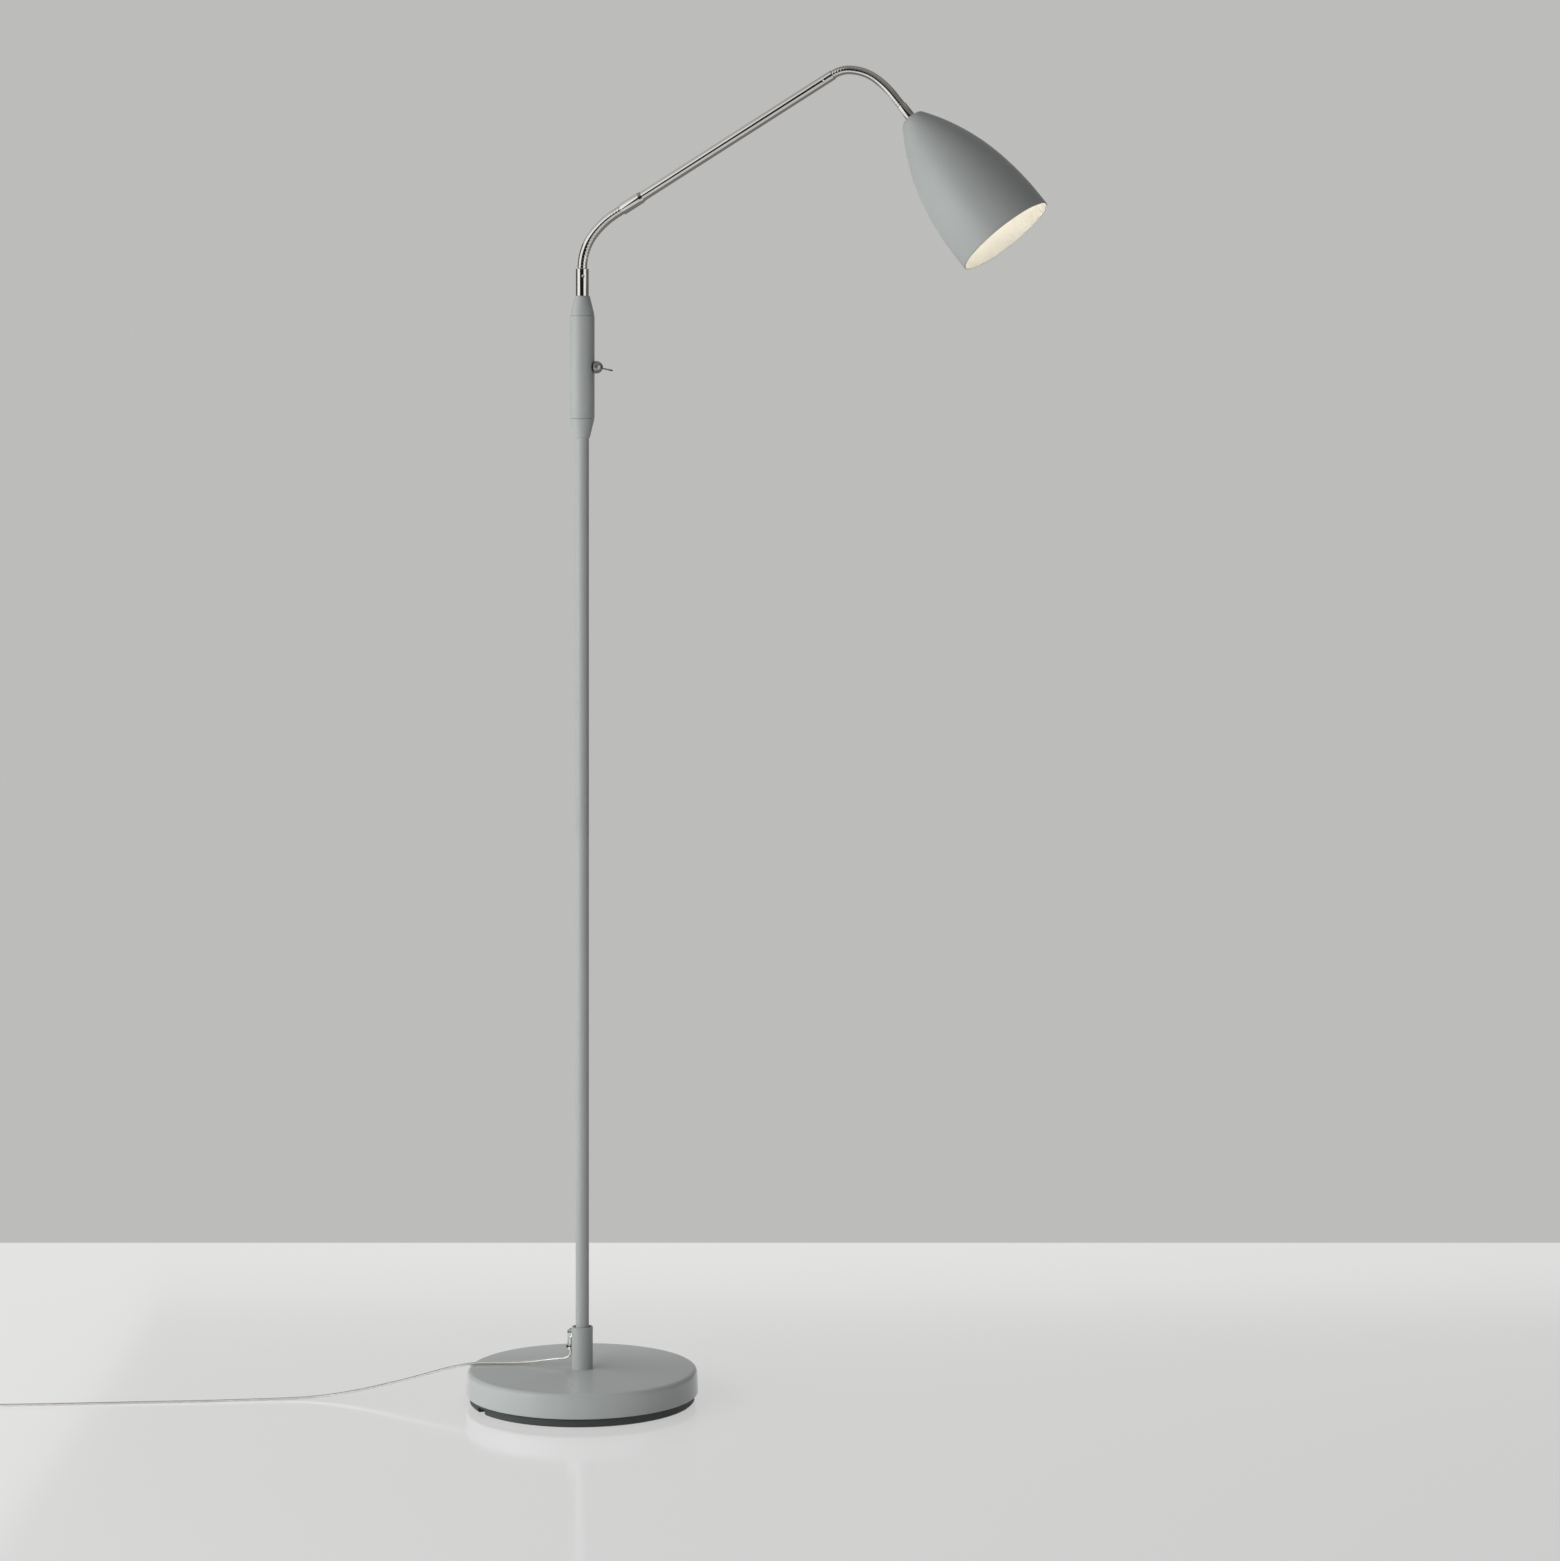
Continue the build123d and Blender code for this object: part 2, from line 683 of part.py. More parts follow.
def shade():
    """Spun metal bell, closed round the ferrule's thread and open at the rim."""
    hole = rod(shade_thread_r + fit, -shade_wall, 2 * shade_wall)
    return along(*shade_top) * (bell(0) - bell(shade_wall) - hole)


def shade_locknut():
    """Nut that clamps the shade to the ferrule."""
    return along(*shade_top) * hex_nut(locknut_across, locknut_height, shade_thread_r + fit, shade_wall)


def lampholder_cap():
    """Cap of the lampholder, screwed on the ferrule's thread."""
    low, high = holder_cap
    inside = holder_cap_r - holder_cap_wall
    cap = turned([
        (shade_thread_r + fit, low), (holder_cap_r, low, holder_cap_bevel), (holder_cap_r, high),
        (inside, high), (inside, high - holder_cap_lap), (shade_thread_r + fit, high - holder_cap_lap),
    ])
    return along(*shade_top) * cap


def lampholder():
    """Lampholder body with the bulb's socket."""
    low = holder_cap[1]
    band, band_end = holder_band
    socket = holder_end - holder_socket_depth
    body = turned([
        (0, low), (holder_cap_r, low), (holder_r, band), (holder_r, band_end),
        (holder_skirt_r, band_end + holder_step), (holder_skirt_r, holder_end, holder_bevel),
        (bulb_cap_r + fit, holder_end), (bulb_cap_r + fit, socket), (0, socket),
    ])
    return along(*shade_top) * body


def bulb_cap():
    """Screw cap of the bulb, seated in the socket."""
    low = holder_end - holder_socket_depth
    tip_r, tip = bulb_contact
    cap = turned([(0, low), (tip_r, low), (bulb_cap_r, low + tip), (bulb_cap_r, holder_end), (0, holder_end)])
    return along(*shade_top) * cap


def bulb_glass():
    """Small round bulb."""
    centre = bulb_end - bulb_r
    neck_end = centre - math.sqrt(bulb_r**2 - bulb_neck_r**2)
    neck = Polyline((0, bulb_end), (0, holder_end), (bulb_neck_r, holder_end), (bulb_neck_r, neck_end))
    globe = ThreePointArc((bulb_neck_r, neck_end), (bulb_r, centre), (0, bulb_end))
    return along(*shade_top) * lathe(make_face([neck, globe]))


# ---------------------------------------------------------------- leads inside
def flat_section(point, heading, side):
    """The cord's flat six-sided section, square to heading and wide along side."""
    wide, flat, thick = cord_width / 2, cord_flat / 2, cord_thick / 2
    corners = [(wide, 0), (flat, thick), (-flat, thick), (-wide, 0), (-flat, -thick), (flat, -thick)]
    return Plane(origin=point, x_dir=side, z_dir=heading) * make_face(Polyline(corners, close=True))


def pole_lead():
    """The cord's inner end, from the clamp through the pole to the switch."""
    points = lead_points()
    path = FilletPolyline(*points, radius=cord_width)
    return sweep(flat_section(points[0], (0, 0, 1), (0, -1, 0)), path)


def housing_lead():
    """Lead from the switch through the lower ferrule."""
    return rod(lead_r, switch_height + switch_case_size[2] / 2 + fit, lower_mouth - neck_grip)


def arm_lead():
    """Lead along the arm."""
    return along(*arm_start) * rod(lead_r, neck_grip, arm_length - neck_grip)


# ---------------------------------------------------------------- cord, coil and plug
def rounded_path(points):
    """Straight runs through points joined by arcs as large as the runs allow, and the arcs' radii."""
    vectors = [Vector(*point) for point in points]
    radii = []
    for before, corner, after in zip(vectors, vectors[1:], vectors[2:]):
        run_in, run_out = corner - before, after - corner
        half_turn = math.radians(run_in.get_angle(run_out)) / 2
        radii.append(0.45 * min(run_in.length, run_out.length) / math.tan(half_turn))
    return FilletPolyline(*vectors, radius=radii), radii


def swept_cord(name, path, side):
    """The flat cord along a path, wide along side where it starts, with its length and volume printed."""
    section = flat_section(path @ 0, path % 0, side)
    cord = sweep(section, path)
    ratio = cord.volume / section.area / path.length
    print(name, "length", round(path.length, 1), "volume ratio", round(ratio, 4))
    return cord


def cord_points():
    """Bends of the cord from the clamp to the coil."""
    leave = (-cord_out, 0.0, clamp_low)
    return [leave, (-cord_out, 0.0, clamp_low - cord_drop), *cord_route, coil_start]


def cord_run():
    """The cord from the clamp to the coil."""
    path, radii = rounded_path(cord_points())
    print("cord radii", [round(radius, 1) for radius in radii])
    return swept_cord("cord run", path, (0, -1, 0))


def coil_axes(turn):
    """Directions along and into the coil after a number of turns."""
    angle = coil_heading + 2 * math.pi * turn
    ahead = Vector(math.cos(angle), math.sin(angle), 0)
    return ahead, Vector(0, 0, 1).cross(ahead)


def coil_place(turn):
    """Point and direction on the coil after a number of turns."""
    if turn <= turns_in:
        radius, slope, rise = coil_r - turn * pitch, -pitch, 0.0
    elif turn < turns_in + turns_climb:
        radius, slope, rise = coil_r - turns_in * pitch, 0.0, (turn - turns_in) / turns_climb * layer
    else:
        radius, slope, rise = coil_r - (2 * turns_in + turns_climb - turn) * pitch, pitch, layer
    ahead, inward = coil_axes(turn)
    centre = Vector(*coil_start) + coil_axes(0)[1] * coil_r
    point = centre - inward * radius + Vector(0, 0, rise)
    return point, (ahead - inward * (slope / (2 * math.pi * radius))).normalized()


def biarc(start, ahead, end, onward):
    """Two arcs that leave start along ahead and reach end along onward."""
    span = end - start
    both = ahead + onward
    spread = 2 * (1 - ahead.dot(onward))
    reach = (math.sqrt(span.dot(both) ** 2 + spread * span.dot(span)) - span.dot(both)) / spread
    middle = (start + ahead * reach + end - onward * reach) * 0.5
    first = TangentArc(start, middle, tangent=ahead)
    return [first, TangentArc(middle, end, tangent=first % 1)]


def coil_path():
    """Biarcs of half a turn that spiral in on the floor, climb, and spiral out on top."""
    halves = [k / 2 for k in range(int(2 * coil_turns) + 1)]
    stations = halves + [coil_turns] * (halves[-1] < coil_turns)
    arcs = []
    for turn, following in zip(stations, stations[1:]):
        arcs += biarc(*coil_place(turn), *coil_place(following))
    return Wire([arc.edge() for arc in arcs])


def least_gap(path):
    """Least gap between turns that pass each other, on points along the path."""
    points = [path @ (k / gap_points) for k in range(gap_points + 1)]
    skip = int(gap_points * 4 * cord_width / path.length)
    bevel = math.atan2(cord_width / 2 - cord_flat / 2, cord_thick / 2)
    least = cord_width
    for i, here in enumerate(points):
        for there in points[i + skip:]:
            beside = math.hypot(here.X - there.X, here.Y - there.Y)
            above = abs(here.Z - there.Z)
            slant = beside * math.cos(bevel) + above * math.sin(bevel) - cord_width * math.cos(bevel)
            least = min(least, max(beside - cord_width, above - cord_thick, slant))
    return least


def cord_coil():
    """The put-away length of the cord, in flat turns on and beside each other."""
    path = coil_path()
    gap = least_gap(path)
    print("coil turns", coil_turns, "least gap", round(gap, 2), "enough" if gap > gap_needed else "TOO SMALL")
    return swept_cord("cord coil", path, (path % 0).cross(Vector(0, 0, 1)))


def tail_points():
    """Bends of the cord's tail from the coil to the plug."""
    point, ahead = coil_place(coil_turns)
    rise = plug_axis_height - point.Z
    spots = ((0.0, 0.0), (0.35, 0.0), (0.65, 1.0), (1.0, 1.0))
    return [point + ahead * (tail_length * share) + Vector(0, 0, rise * lift) for share, lift in spots]


def cord_tail():
    """The short length from the coil to the plug."""
    path, radii = rounded_path(tail_points())
    print("tail radii", [round(radius, 1) for radius in radii])
    return swept_cord("cord tail", path, (path % 0).cross(Vector(0, 0, 1)))


def plug_plane():
    """Plane at the plug's cord end, its normal along the plug."""
    end, before = tail_points()[-1], coil_place(coil_turns)[1]
    return Plane(origin=end, x_dir=before.cross(Vector(0, 0, 1)), z_dir=before)


def plug_sleeve():
    """Tapered strain relief, which meets the cord's end face to face."""
    return plug_plane() * turned([(0, 0), (sleeve_small_r, 0, sleeve_bevel), (sleeve_large_r, sleeve_length),
                                  (0, sleeve_length)])


def plug_flank(back, front):
    """Half outline of the plug seen square to one of its sides, given its two sizes."""
    shoulder = sleeve_length + plug_shoulder * plug_length
    end = sleeve_length + plug_length
    half = [(back / 2, sleeve_length), (front / 2, shoulder), (front / 2, end)]
    return make_face(Polyline(half + [(-r, z) for r, z in reversed(half)], close=True))


def plug_body():
    """Flat plug body, tapering to the cord."""
    flat = extrude(Plane.XZ * plug_flank(plug_back[0], plug_front[0]), plug_front[1] / 2, both=True)
    flat = fillet(flat.edges().filter_by(Axis.Y), plug_round)
    slab = extrude(Plane.YZ * plug_flank(plug_back[1], plug_front[1]), plug_front[0], both=True)
    return plug_plane() * (flat & slab)


def plug_pins():
    """Two round pins."""
    base = sleeve_length + plug_length
    pin = turned([(0, base), (pin_r, base), (pin_r, base + pin_length, pin_bevel), (0, base + pin_length)])
    sides = (-pin_spacing / 2, pin_spacing / 2)
    return Compound([(plug_plane() * Pos(side, 0, 0) * pin).solid() for side in sides])


# ---------------------------------------------------------------- assembly
makers = (
    base_cover, base_weight, base_bottom_plate, base_stem, base_washer, base_nut, pole_foot, cord_clamp,
    clamp_screws, pole_tube, pole_lead, housing_lower_cone, housing_stem, housing_nut, housing_tube,
    housing_upper_cone, housing_lead, switch_case, switch_bushing, switch_washer, switch_dome_nut,
    switch_lever, lower_ferrule, arm_ferrule, arm_tube, arm_lead, shade_ferrule, shade, shade_locknut,
    lampholder_cap, lampholder, bulb_cap, bulb_glass, cord_run, cord_coil, cord_tail, plug_sleeve, plug_body,
    plug_pins,
)


def main():
    """Write every piece of the lamp to a file of its own."""
    os.makedirs("parts", exist_ok=True)
    pieces = {maker.__name__: maker() for maker in makers}
    pieces.update(lower_neck.pieces())
    pieces.update(upper_neck.pieces())
    for name, piece in pieces.items():
        export_step(piece, f"parts/{name}.step")


if __name__ == "__main__":
    main()
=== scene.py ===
"""The gooseneck reading floor lamp dressed for its picture: wound polished necks, powder-coated metal, a
lit enamelled shade, a clear twin cord and the studio around them. Lengths are metres; mm turns millimetres
into metres."""

import json
import math

import bpy
from mathutils import Matrix, Vector


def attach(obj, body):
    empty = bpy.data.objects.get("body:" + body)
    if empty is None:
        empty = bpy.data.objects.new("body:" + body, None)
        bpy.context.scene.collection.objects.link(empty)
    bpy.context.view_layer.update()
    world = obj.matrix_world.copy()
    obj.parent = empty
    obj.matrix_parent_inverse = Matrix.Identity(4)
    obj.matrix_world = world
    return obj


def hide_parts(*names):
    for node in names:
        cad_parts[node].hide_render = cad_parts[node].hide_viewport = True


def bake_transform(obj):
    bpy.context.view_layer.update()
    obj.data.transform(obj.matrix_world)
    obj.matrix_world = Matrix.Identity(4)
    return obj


mm = 0.001
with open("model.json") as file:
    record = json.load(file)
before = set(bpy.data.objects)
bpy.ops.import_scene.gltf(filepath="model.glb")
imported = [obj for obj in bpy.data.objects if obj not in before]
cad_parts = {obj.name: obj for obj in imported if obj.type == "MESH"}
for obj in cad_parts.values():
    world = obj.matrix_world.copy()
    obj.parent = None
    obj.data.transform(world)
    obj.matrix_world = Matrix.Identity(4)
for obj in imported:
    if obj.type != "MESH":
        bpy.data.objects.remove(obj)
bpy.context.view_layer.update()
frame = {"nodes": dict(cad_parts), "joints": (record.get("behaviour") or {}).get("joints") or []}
nodes = frame["nodes"]

# ---------------------------------------------------------------- sizes shared with the CAD part
base_r = 113.0 * mm
base_top = 32.0 * mm
cover_low = 8.4 * mm
pole_r = 6.5 * mm
pole_top = 951.0 * mm
housing_r = 12.0 * mm
cone_r = 7.3 * mm
cone_low = 940.0 * mm
housing_low = 959.0 * mm
housing_high = 1059.5 * mm
cone_high = 1078.5 * mm
lower_mouth = 1105.2 * mm
switch_height = 1009.0 * mm
arm_r = 5.0 * mm
arm_length = 249.0 * mm
ferrule_r = 6.0 * mm
ferrule_length = 24.5 * mm
shade_ferrule_r = 4.95 * mm
shade_ferrule_length = 15.0 * mm
shade_rim_r = 49.5 * mm
shade_length = 147.5 * mm
shade_wall = 1.2 * mm
lower_crest = 4.9 * mm
lower_bore = 4.97 * mm  # inside the ferrules that hold the lower neck
upper_crest = 4.35 * mm
upper_bore = 4.42 * mm  # and the upper neck
cord_width = 4.4 * mm
cord_thick = 2.2 * mm


# ---------------------------------------------------------------- materials
class Nodes:
    """A material's node tree with short calls for what this scene needs."""

    def __init__(self, name):
        self.material = bpy.data.materials.new(name)
        self.material.use_nodes = True
        self.tree = self.material.node_tree
        self.shader = self.tree.nodes["Principled BSDF"]

    def set(self, **values):
        """Values of the shader's own sockets, with _ for a space."""
        for name, value in values.items():
            self.shader.inputs[name.replace("_", " ")].default_value = value
        return self

    def add(self, kind):
        return self.tree.nodes.new(kind)

    def link(self, out, into):
        self.tree.links.new(out, into)

    def noise(self, scale, detail):
        """Noise over the piece, of a scale per metre."""
        where = self.add("ShaderNodeTexCoord")
        node = self.add("ShaderNodeTexNoise")
        for name, number in (("Scale", scale), ("Detail", detail), ("Roughness", 0.55)):
            node.inputs[name].default_value = number
        self.link(where.outputs["Object"], node.inputs["Vector"])
        return node.outputs["Fac"]

    def ramp(self, value, low, high, start=0.3, end=0.7):
        """A value or colour that runs from low to high as value runs from start to end."""
        if isinstance(low, tuple):
            node = self.add("ShaderNodeValToRGB")
            node.color_ramp.elements[0].position = start
            node.color_ramp.elements[0].color = (*low, 1)
            node.color_ramp.elements[1].position = end
            node.color_ramp.elements[1].color = (*high, 1)
            self.link(value, node.inputs["Fac"])
            return node.outputs["Color"]
        node = self.add("ShaderNodeMapRange")
        for name, number in (("From Min", start), ("From Max", end), ("To Min", low), ("To Max", high)):
            node.inputs[name].default_value = number
        self.link(value, node.inputs["Value"])
        return node.outputs["Result"]

    def bump(self, height, strength, distance):
        """Relief of a depth, which ends the material's shader."""
        node = self.add("ShaderNodeBump")
        node.inputs["Strength"].default_value = strength
        node.inputs["Distance"].default_value = distance
        self.link(height, node.inputs["Height"])
        self.link(node.outputs["Normal"], self.shader.inputs["Normal"])
        return self


def darker(colour, share):
    return tuple(c * share for c in colour)


def paint(name, light, dark, roughness=(0.40, 0.50)):
    """Powder coat: a fine orange peel, with colour and gloss that vary a little."""
    n = Nodes(name).set(Metallic=0.0, IOR=1.45)
    broad = n.noise(scale=9.0, detail=3.0)
    fine = n.noise(scale=1500.0, detail=2.0)
    n.link(n.ramp(broad, dark, light), n.shader.inputs["Base Color"])
    n.link(n.ramp(fine, *roughness), n.shader.inputs["Roughness"])
    return n.bump(fine, strength=0.18, distance=0.1 * mm).material


def polished(name, colour, roughness):
    """Plated or plain metal with faint polishing marks."""
    n = Nodes(name).set(Metallic=1.0)
    marks = n.noise(scale=2600.0, detail=3.0)
    broad = n.noise(scale=30.0, detail=2.0)
    n.link(n.ramp(broad, darker(colour, 0.93), colour), n.shader.inputs["Base Color"])
    n.link(n.ramp(marks, *roughness), n.shader.inputs["Roughness"])
    return n.bump(marks, strength=0.05, distance=0.03 * mm).material


def moulded(name, colour, roughness, transmission=0.0, bump=0.1, ior=1.48):
    """Moulded plastic or rubber, clear where transmission is given."""
    n = Nodes(name).set(Metallic=0.0, IOR=ior, Transmission_Weight=transmission)
    fine = n.noise(scale=1800.0, detail=3.0)
    broad = n.noise(scale=60.0, detail=2.0)
    n.link(n.ramp(broad, darker(colour, 0.92), colour), n.shader.inputs["Base Color"])
    n.link(n.ramp(fine, roughness * 0.85, roughness * 1.15), n.shader.inputs["Roughness"])
    return n.bump(fine, strength=bump, distance=0.05 * mm).material


def cast(name, colour):
    """Rough cast metal."""
    n = Nodes(name).set(Metallic=0.4)
    coarse = n.noise(scale=500.0, detail=6.0)
    n.link(n.ramp(coarse, darker(colour, 0.7), colour), n.shader.inputs["Base Color"])
    n.link(n.ramp(coarse, 0.65, 0.85), n.shader.inputs["Roughness"])
    return n.bump(coarse, strength=0.5, distance=0.4 * mm).material


def glow(name, colour, strength):
    """Opal glass, lit from inside, with a faint cloud in it."""
    n = Nodes(name).set(Roughness=0.25, Emission_Strength=strength)
    cloud = n.noise(scale=25.0, detail=2.0)
    tint = n.ramp(cloud, darker(colour, 0.96), colour)
    for socket in ("Emission Color", "Base Color"):
        n.link(tint, n.shader.inputs[socket])
    return n.material


grey = paint("grey_powder_coat", (0.425, 0.447, 0.441), (0.405, 0.427, 0.421))
# The base wears the grey powder coat painted lighter: painted light for the brighter light that falls on the
# base. Its gloss is smoother.
base_grey_painted_lighter = paint("grey_powder_coat_painted_lighter", (0.49, 0.515, 0.508), (0.47, 0.495, 0.488), (0.15, 0.21))
enamel = paint("warm_white_enamel", (0.90, 0.885, 0.83), (0.885, 0.87, 0.815), (0.5, 0.6))
nickel = polished("polished_nickel", (0.80, 0.775, 0.745), roughness=(0.045, 0.09))
steel = polished("zinc_steel", (0.56, 0.56, 0.55), roughness=(0.25, 0.4))
satin = polished("satin_nickel", (0.56, 0.55, 0.535), roughness=(0.34, 0.44))
lever_steel = polished("satin_steel", (0.34, 0.335, 0.33), roughness=(0.24, 0.34))
dark_steel = polished("blackened_steel", (0.05, 0.05, 0.05), roughness=(0.3, 0.45))
iron = cast("cast_iron", (0.10, 0.10, 0.10))
dark_plate = moulded("dark_base_plate", (0.055, 0.062, 0.062), roughness=0.6, bump=0.3)
rubber = moulded("black_rubber", (0.012, 0.012, 0.012), roughness=0.55, bump=0.2)
black = moulded("black_plastic", (0.02, 0.02, 0.02), roughness=0.4)
holder_white = moulded("white_thermoplastic", (0.78, 0.76, 0.70), roughness=0.35)
sheath = moulded("clear_sheath", (0.93, 0.92, 0.88), 0.16, transmission=0.8, bump=0.05)
clamp_clear = moulded("clear_clamp", (0.95, 0.96, 0.95), 0.16, transmission=0.97, bump=0.02, ior=1.16)
plug_clear = moulded("clear_plug", (0.86, 0.86, 0.83), 0.22, transmission=0.6, bump=0.08)
strand = polished("tinned_strand", (0.84, 0.80, 0.74), roughness=(0.25, 0.4))
opal = glow("lit_opal_glass", (1.0, 0.955, 0.865), 3.2)


# ---------------------------------------------------------------- mesh helpers
def new_mesh(name, points, faces, material, sharp=30.0):
    """A smooth-shaded mesh object with edges sharper than the angle kept crisp."""
    mesh = bpy.data.meshes.new(name)
    mesh.from_pydata([tuple(p) for p in points], [], faces)
    mesh.validate()
    mesh.materials.append(material)
    mesh.shade_smooth()
    mesh.set_sharp_from_angle(angle=math.radians(sharp))
    piece = bpy.data.objects.new(name, mesh)
    bpy.context.scene.collection.objects.link(piece)
    return piece


def lathe(name, profile, material, sides=96, closed=True, place=Matrix.Identity(4)):
    """A piece turned about Z from (radius, height) points; a closed profile loops back to its start."""
    points, faces, rings = [], [], []
    for r, z in profile:
        if r < 1e-7:
            rings.append([len(points)] * sides)
            points.append(place @ Vector((0, 0, z)))
            continue
        rings.append([len(points) + k for k in range(sides)])
        for k in range(sides):
            a = 2 * math.pi * k / sides
            points.append(place @ Vector((r * math.cos(a), r * math.sin(a), z)))
    pairs = list(zip(rings, rings[1:] + rings[:1] if closed else rings[1:]))
    for low, high in pairs:
        for k in range(sides):
            face = [low[k], low[(k + 1) % sides], high[(k + 1) % sides], high[k]]
            kept = [v for i, v in enumerate(face) if v not in face[:i]]
            if len(kept) > 2:
                faces.append(kept)
    return new_mesh(name, points, faces, material)


def rounded(corners, steps=5):
    """A profile whose corners (radius, height, rounding) become arcs."""
    found = []
    count = len(corners)
    for i, (r, z, size) in enumerate(corners):
        here = Vector((r, z))
        if size <= 0:
            found.append((r, z))
            continue
        before = Vector(corners[i - 1][:2]) - here
        after = Vector(corners[(i + 1) % count][:2]) - here
        before.normalize()
        after.normalize()
        half = before.angle(after) / 2
        reach = size / math.tan(half)
        middle = here + (before + after).normalized() * (size / math.sin(half))
        start, end = here + before * reach - middle, here + after * reach - middle
        turn = start.angle_signed(end)
        for k in range(steps + 1):
            spot = middle + Matrix.Rotation(-turn * k / steps, 2) @ start
            found.append((spot.x, spot.y))
    return found


def axis_frame(x, z, heading):
    """Matrix that takes Z to a heading in the XZ plane, in degrees above +X, and X to the heading's left."""
    angle = math.radians(heading)
    along = Vector((math.cos(angle), 0, math.sin(angle)))
    up = Vector((-math.sin(angle), 0, math.cos(angle)))
    side = along.cross(up)
    turn = Matrix((up, side, along)).transposed()
    return Matrix.Translation((x, 0, z)) @ turn.to_4x4()


def place_on(start, heading, bends, s):
    """Point and heading at distance s along bends that all turn down, straight before and after them."""
    x, z = start
    for radius, turn in bends:
        reach = min(max(s, 0.0), radius * math.radians(turn))
        after = heading - math.degrees(reach / radius)
        x += radius * (math.sin(math.radians(heading)) - math.sin(math.radians(after)))
        z += radius * (math.cos(math.radians(after)) - math.cos(math.radians(heading)))
        heading = after
        s -= reach
    angle = math.radians(heading)
    return x + s * math.cos(angle), z + s * math.sin(angle), heading


def dent(piece, centre, radius, depth):
    """Press a round dimple into a piece along its surface normals."""
    centre = Vector(centre)
    for v in piece.data.vertices:
        gap = (v.co - centre).length
        if gap < radius:
            v.co -= v.normal * depth * (1 - (gap / radius) ** 2)
    return piece


def dress(node, material):
    """A CAD node keeps its mesh and takes a material."""
    mesh = nodes[node].data
    mesh.materials.clear()
    mesh.materials.append(material)


def finish(piece, body, slot, *stands_for):
    """A Blender piece rides on its body and stands for CAD nodes. The slot is not used."""
    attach(piece, body)
    if stands_for:
        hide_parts(*stands_for)


# ---------------------------------------------------------------- camera
view_turn = 18.0  # degrees that the viewer stands to the right of -Y
sensor = 36.0  # the sensor's height; the lens follows from it
camera_distance = 4140 * mm
camera_side = 193 * mm
camera_height = 977 * mm
focal_pixels = 4240.0
picture_pixels = 1561.0
horizon_pixels = 380.5  # above the picture's middle


def viewer_axes():
    """Unit vectors to the picture's right and towards the viewer."""
    angle = math.radians(view_turn)
    return Vector((math.cos(angle), math.sin(angle), 0)), Vector((math.sin(angle), -math.cos(angle), 0))


def make_camera():
    """A level camera at the photograph's place."""
    right, towards = viewer_axes()
    data = bpy.data.cameras.new("camera")
    data.sensor_fit = "VERTICAL"
    data.sensor_height = sensor
    data.lens = sensor * focal_pixels / picture_pixels
    data.shift_y = -horizon_pixels / picture_pixels
    camera = bpy.data.objects.new("camera", data)
    camera.location = right * camera_side + towards * camera_distance + Vector((0, 0, camera_height))
    camera.rotation_euler = (math.radians(90), 0, math.radians(view_turn))  # level
    bpy.context.scene.collection.objects.link(camera)
    bpy.context.scene.camera = camera


make_camera()

# ---------------------------------------------------------------- cord
cord_exit = (-11.6 * mm, 0.0, 50.0 * mm)
cord_route = (
    (-0.0116, 0.0, 0.0442),
    (-0.0166, 0.0, 0.0404),
    (-0.0265, 0.0, 0.0393),
    (-0.0400, -0.0007, 0.0370),
    (-0.0580, -0.0041, 0.0343),
    (-0.0805, -0.0108, 0.0335),
    (-0.1044, -0.0215, 0.0344),
    (-0.1292, -0.0327, 0.0297),
    (-0.1609, -0.0451, 0.0204),
    (-0.1909, -0.0564, 0.0130),
    (-0.2219, -0.0679, 0.0064),
    (-0.2576, -0.0810, 0.0019),
    (-0.3002, -0.0988, 0.0012),
    (-0.3475, -0.1213, 0.00115),
    (-0.3994, -0.1428, 0.0012),
    (-0.4530, -0.1657, 0.00115),
    (-0.5076, -0.1887, 0.0012),
    (-0.5485, -0.2049, 0.00115),
)
coil_start = (-0.5837, -0.2165, 0.00115)
coil_r = 35.0 * mm
coil_pitch = 5.2 * mm
coil_layer = 3.0 * mm
turns_in = 4.0
turns_climb = 0.5
turns_out = 3.75
coil_turns = turns_in + turns_climb + turns_out
points_per_turn = 16
tail_length = 24.0 * mm
plug_height = 6.9 * mm
strand_r = 0.55 * mm
strand_aside = (cord_width - cord_thick) / 2


def coil_axes(turn):
    """Directions along and into the coil after a number of turns; it starts in line with the run."""
    run = Vector(coil_start) - Vector(cord_route[-1])
    heading = math.atan2(run.y, run.x) - math.atan(coil_pitch / (2 * math.pi * coil_r))
    angle = heading + 2 * math.pi * turn
    return Vector((math.cos(angle), math.sin(angle), 0)), Vector((-math.sin(angle), math.cos(angle), 0))


def coil_place(turn, grow=1.0):
    """Point on the coil after a number of turns, its radius times grow."""
    if turn <= turns_in:
        radius, rise = coil_r - turn * coil_pitch, 0.0
    elif turn < turns_in + turns_climb:
        radius, rise = coil_r - turns_in * coil_pitch, (turn - turns_in) / turns_climb * coil_layer
    else:
        radius, rise = coil_r - (2 * turns_in + turns_climb - turn) * coil_pitch, coil_layer
    centre = Vector(coil_start) + coil_axes(0)[1] * coil_r
    return centre - coil_axes(turn)[1] * radius * grow + Vector((0, 0, rise))


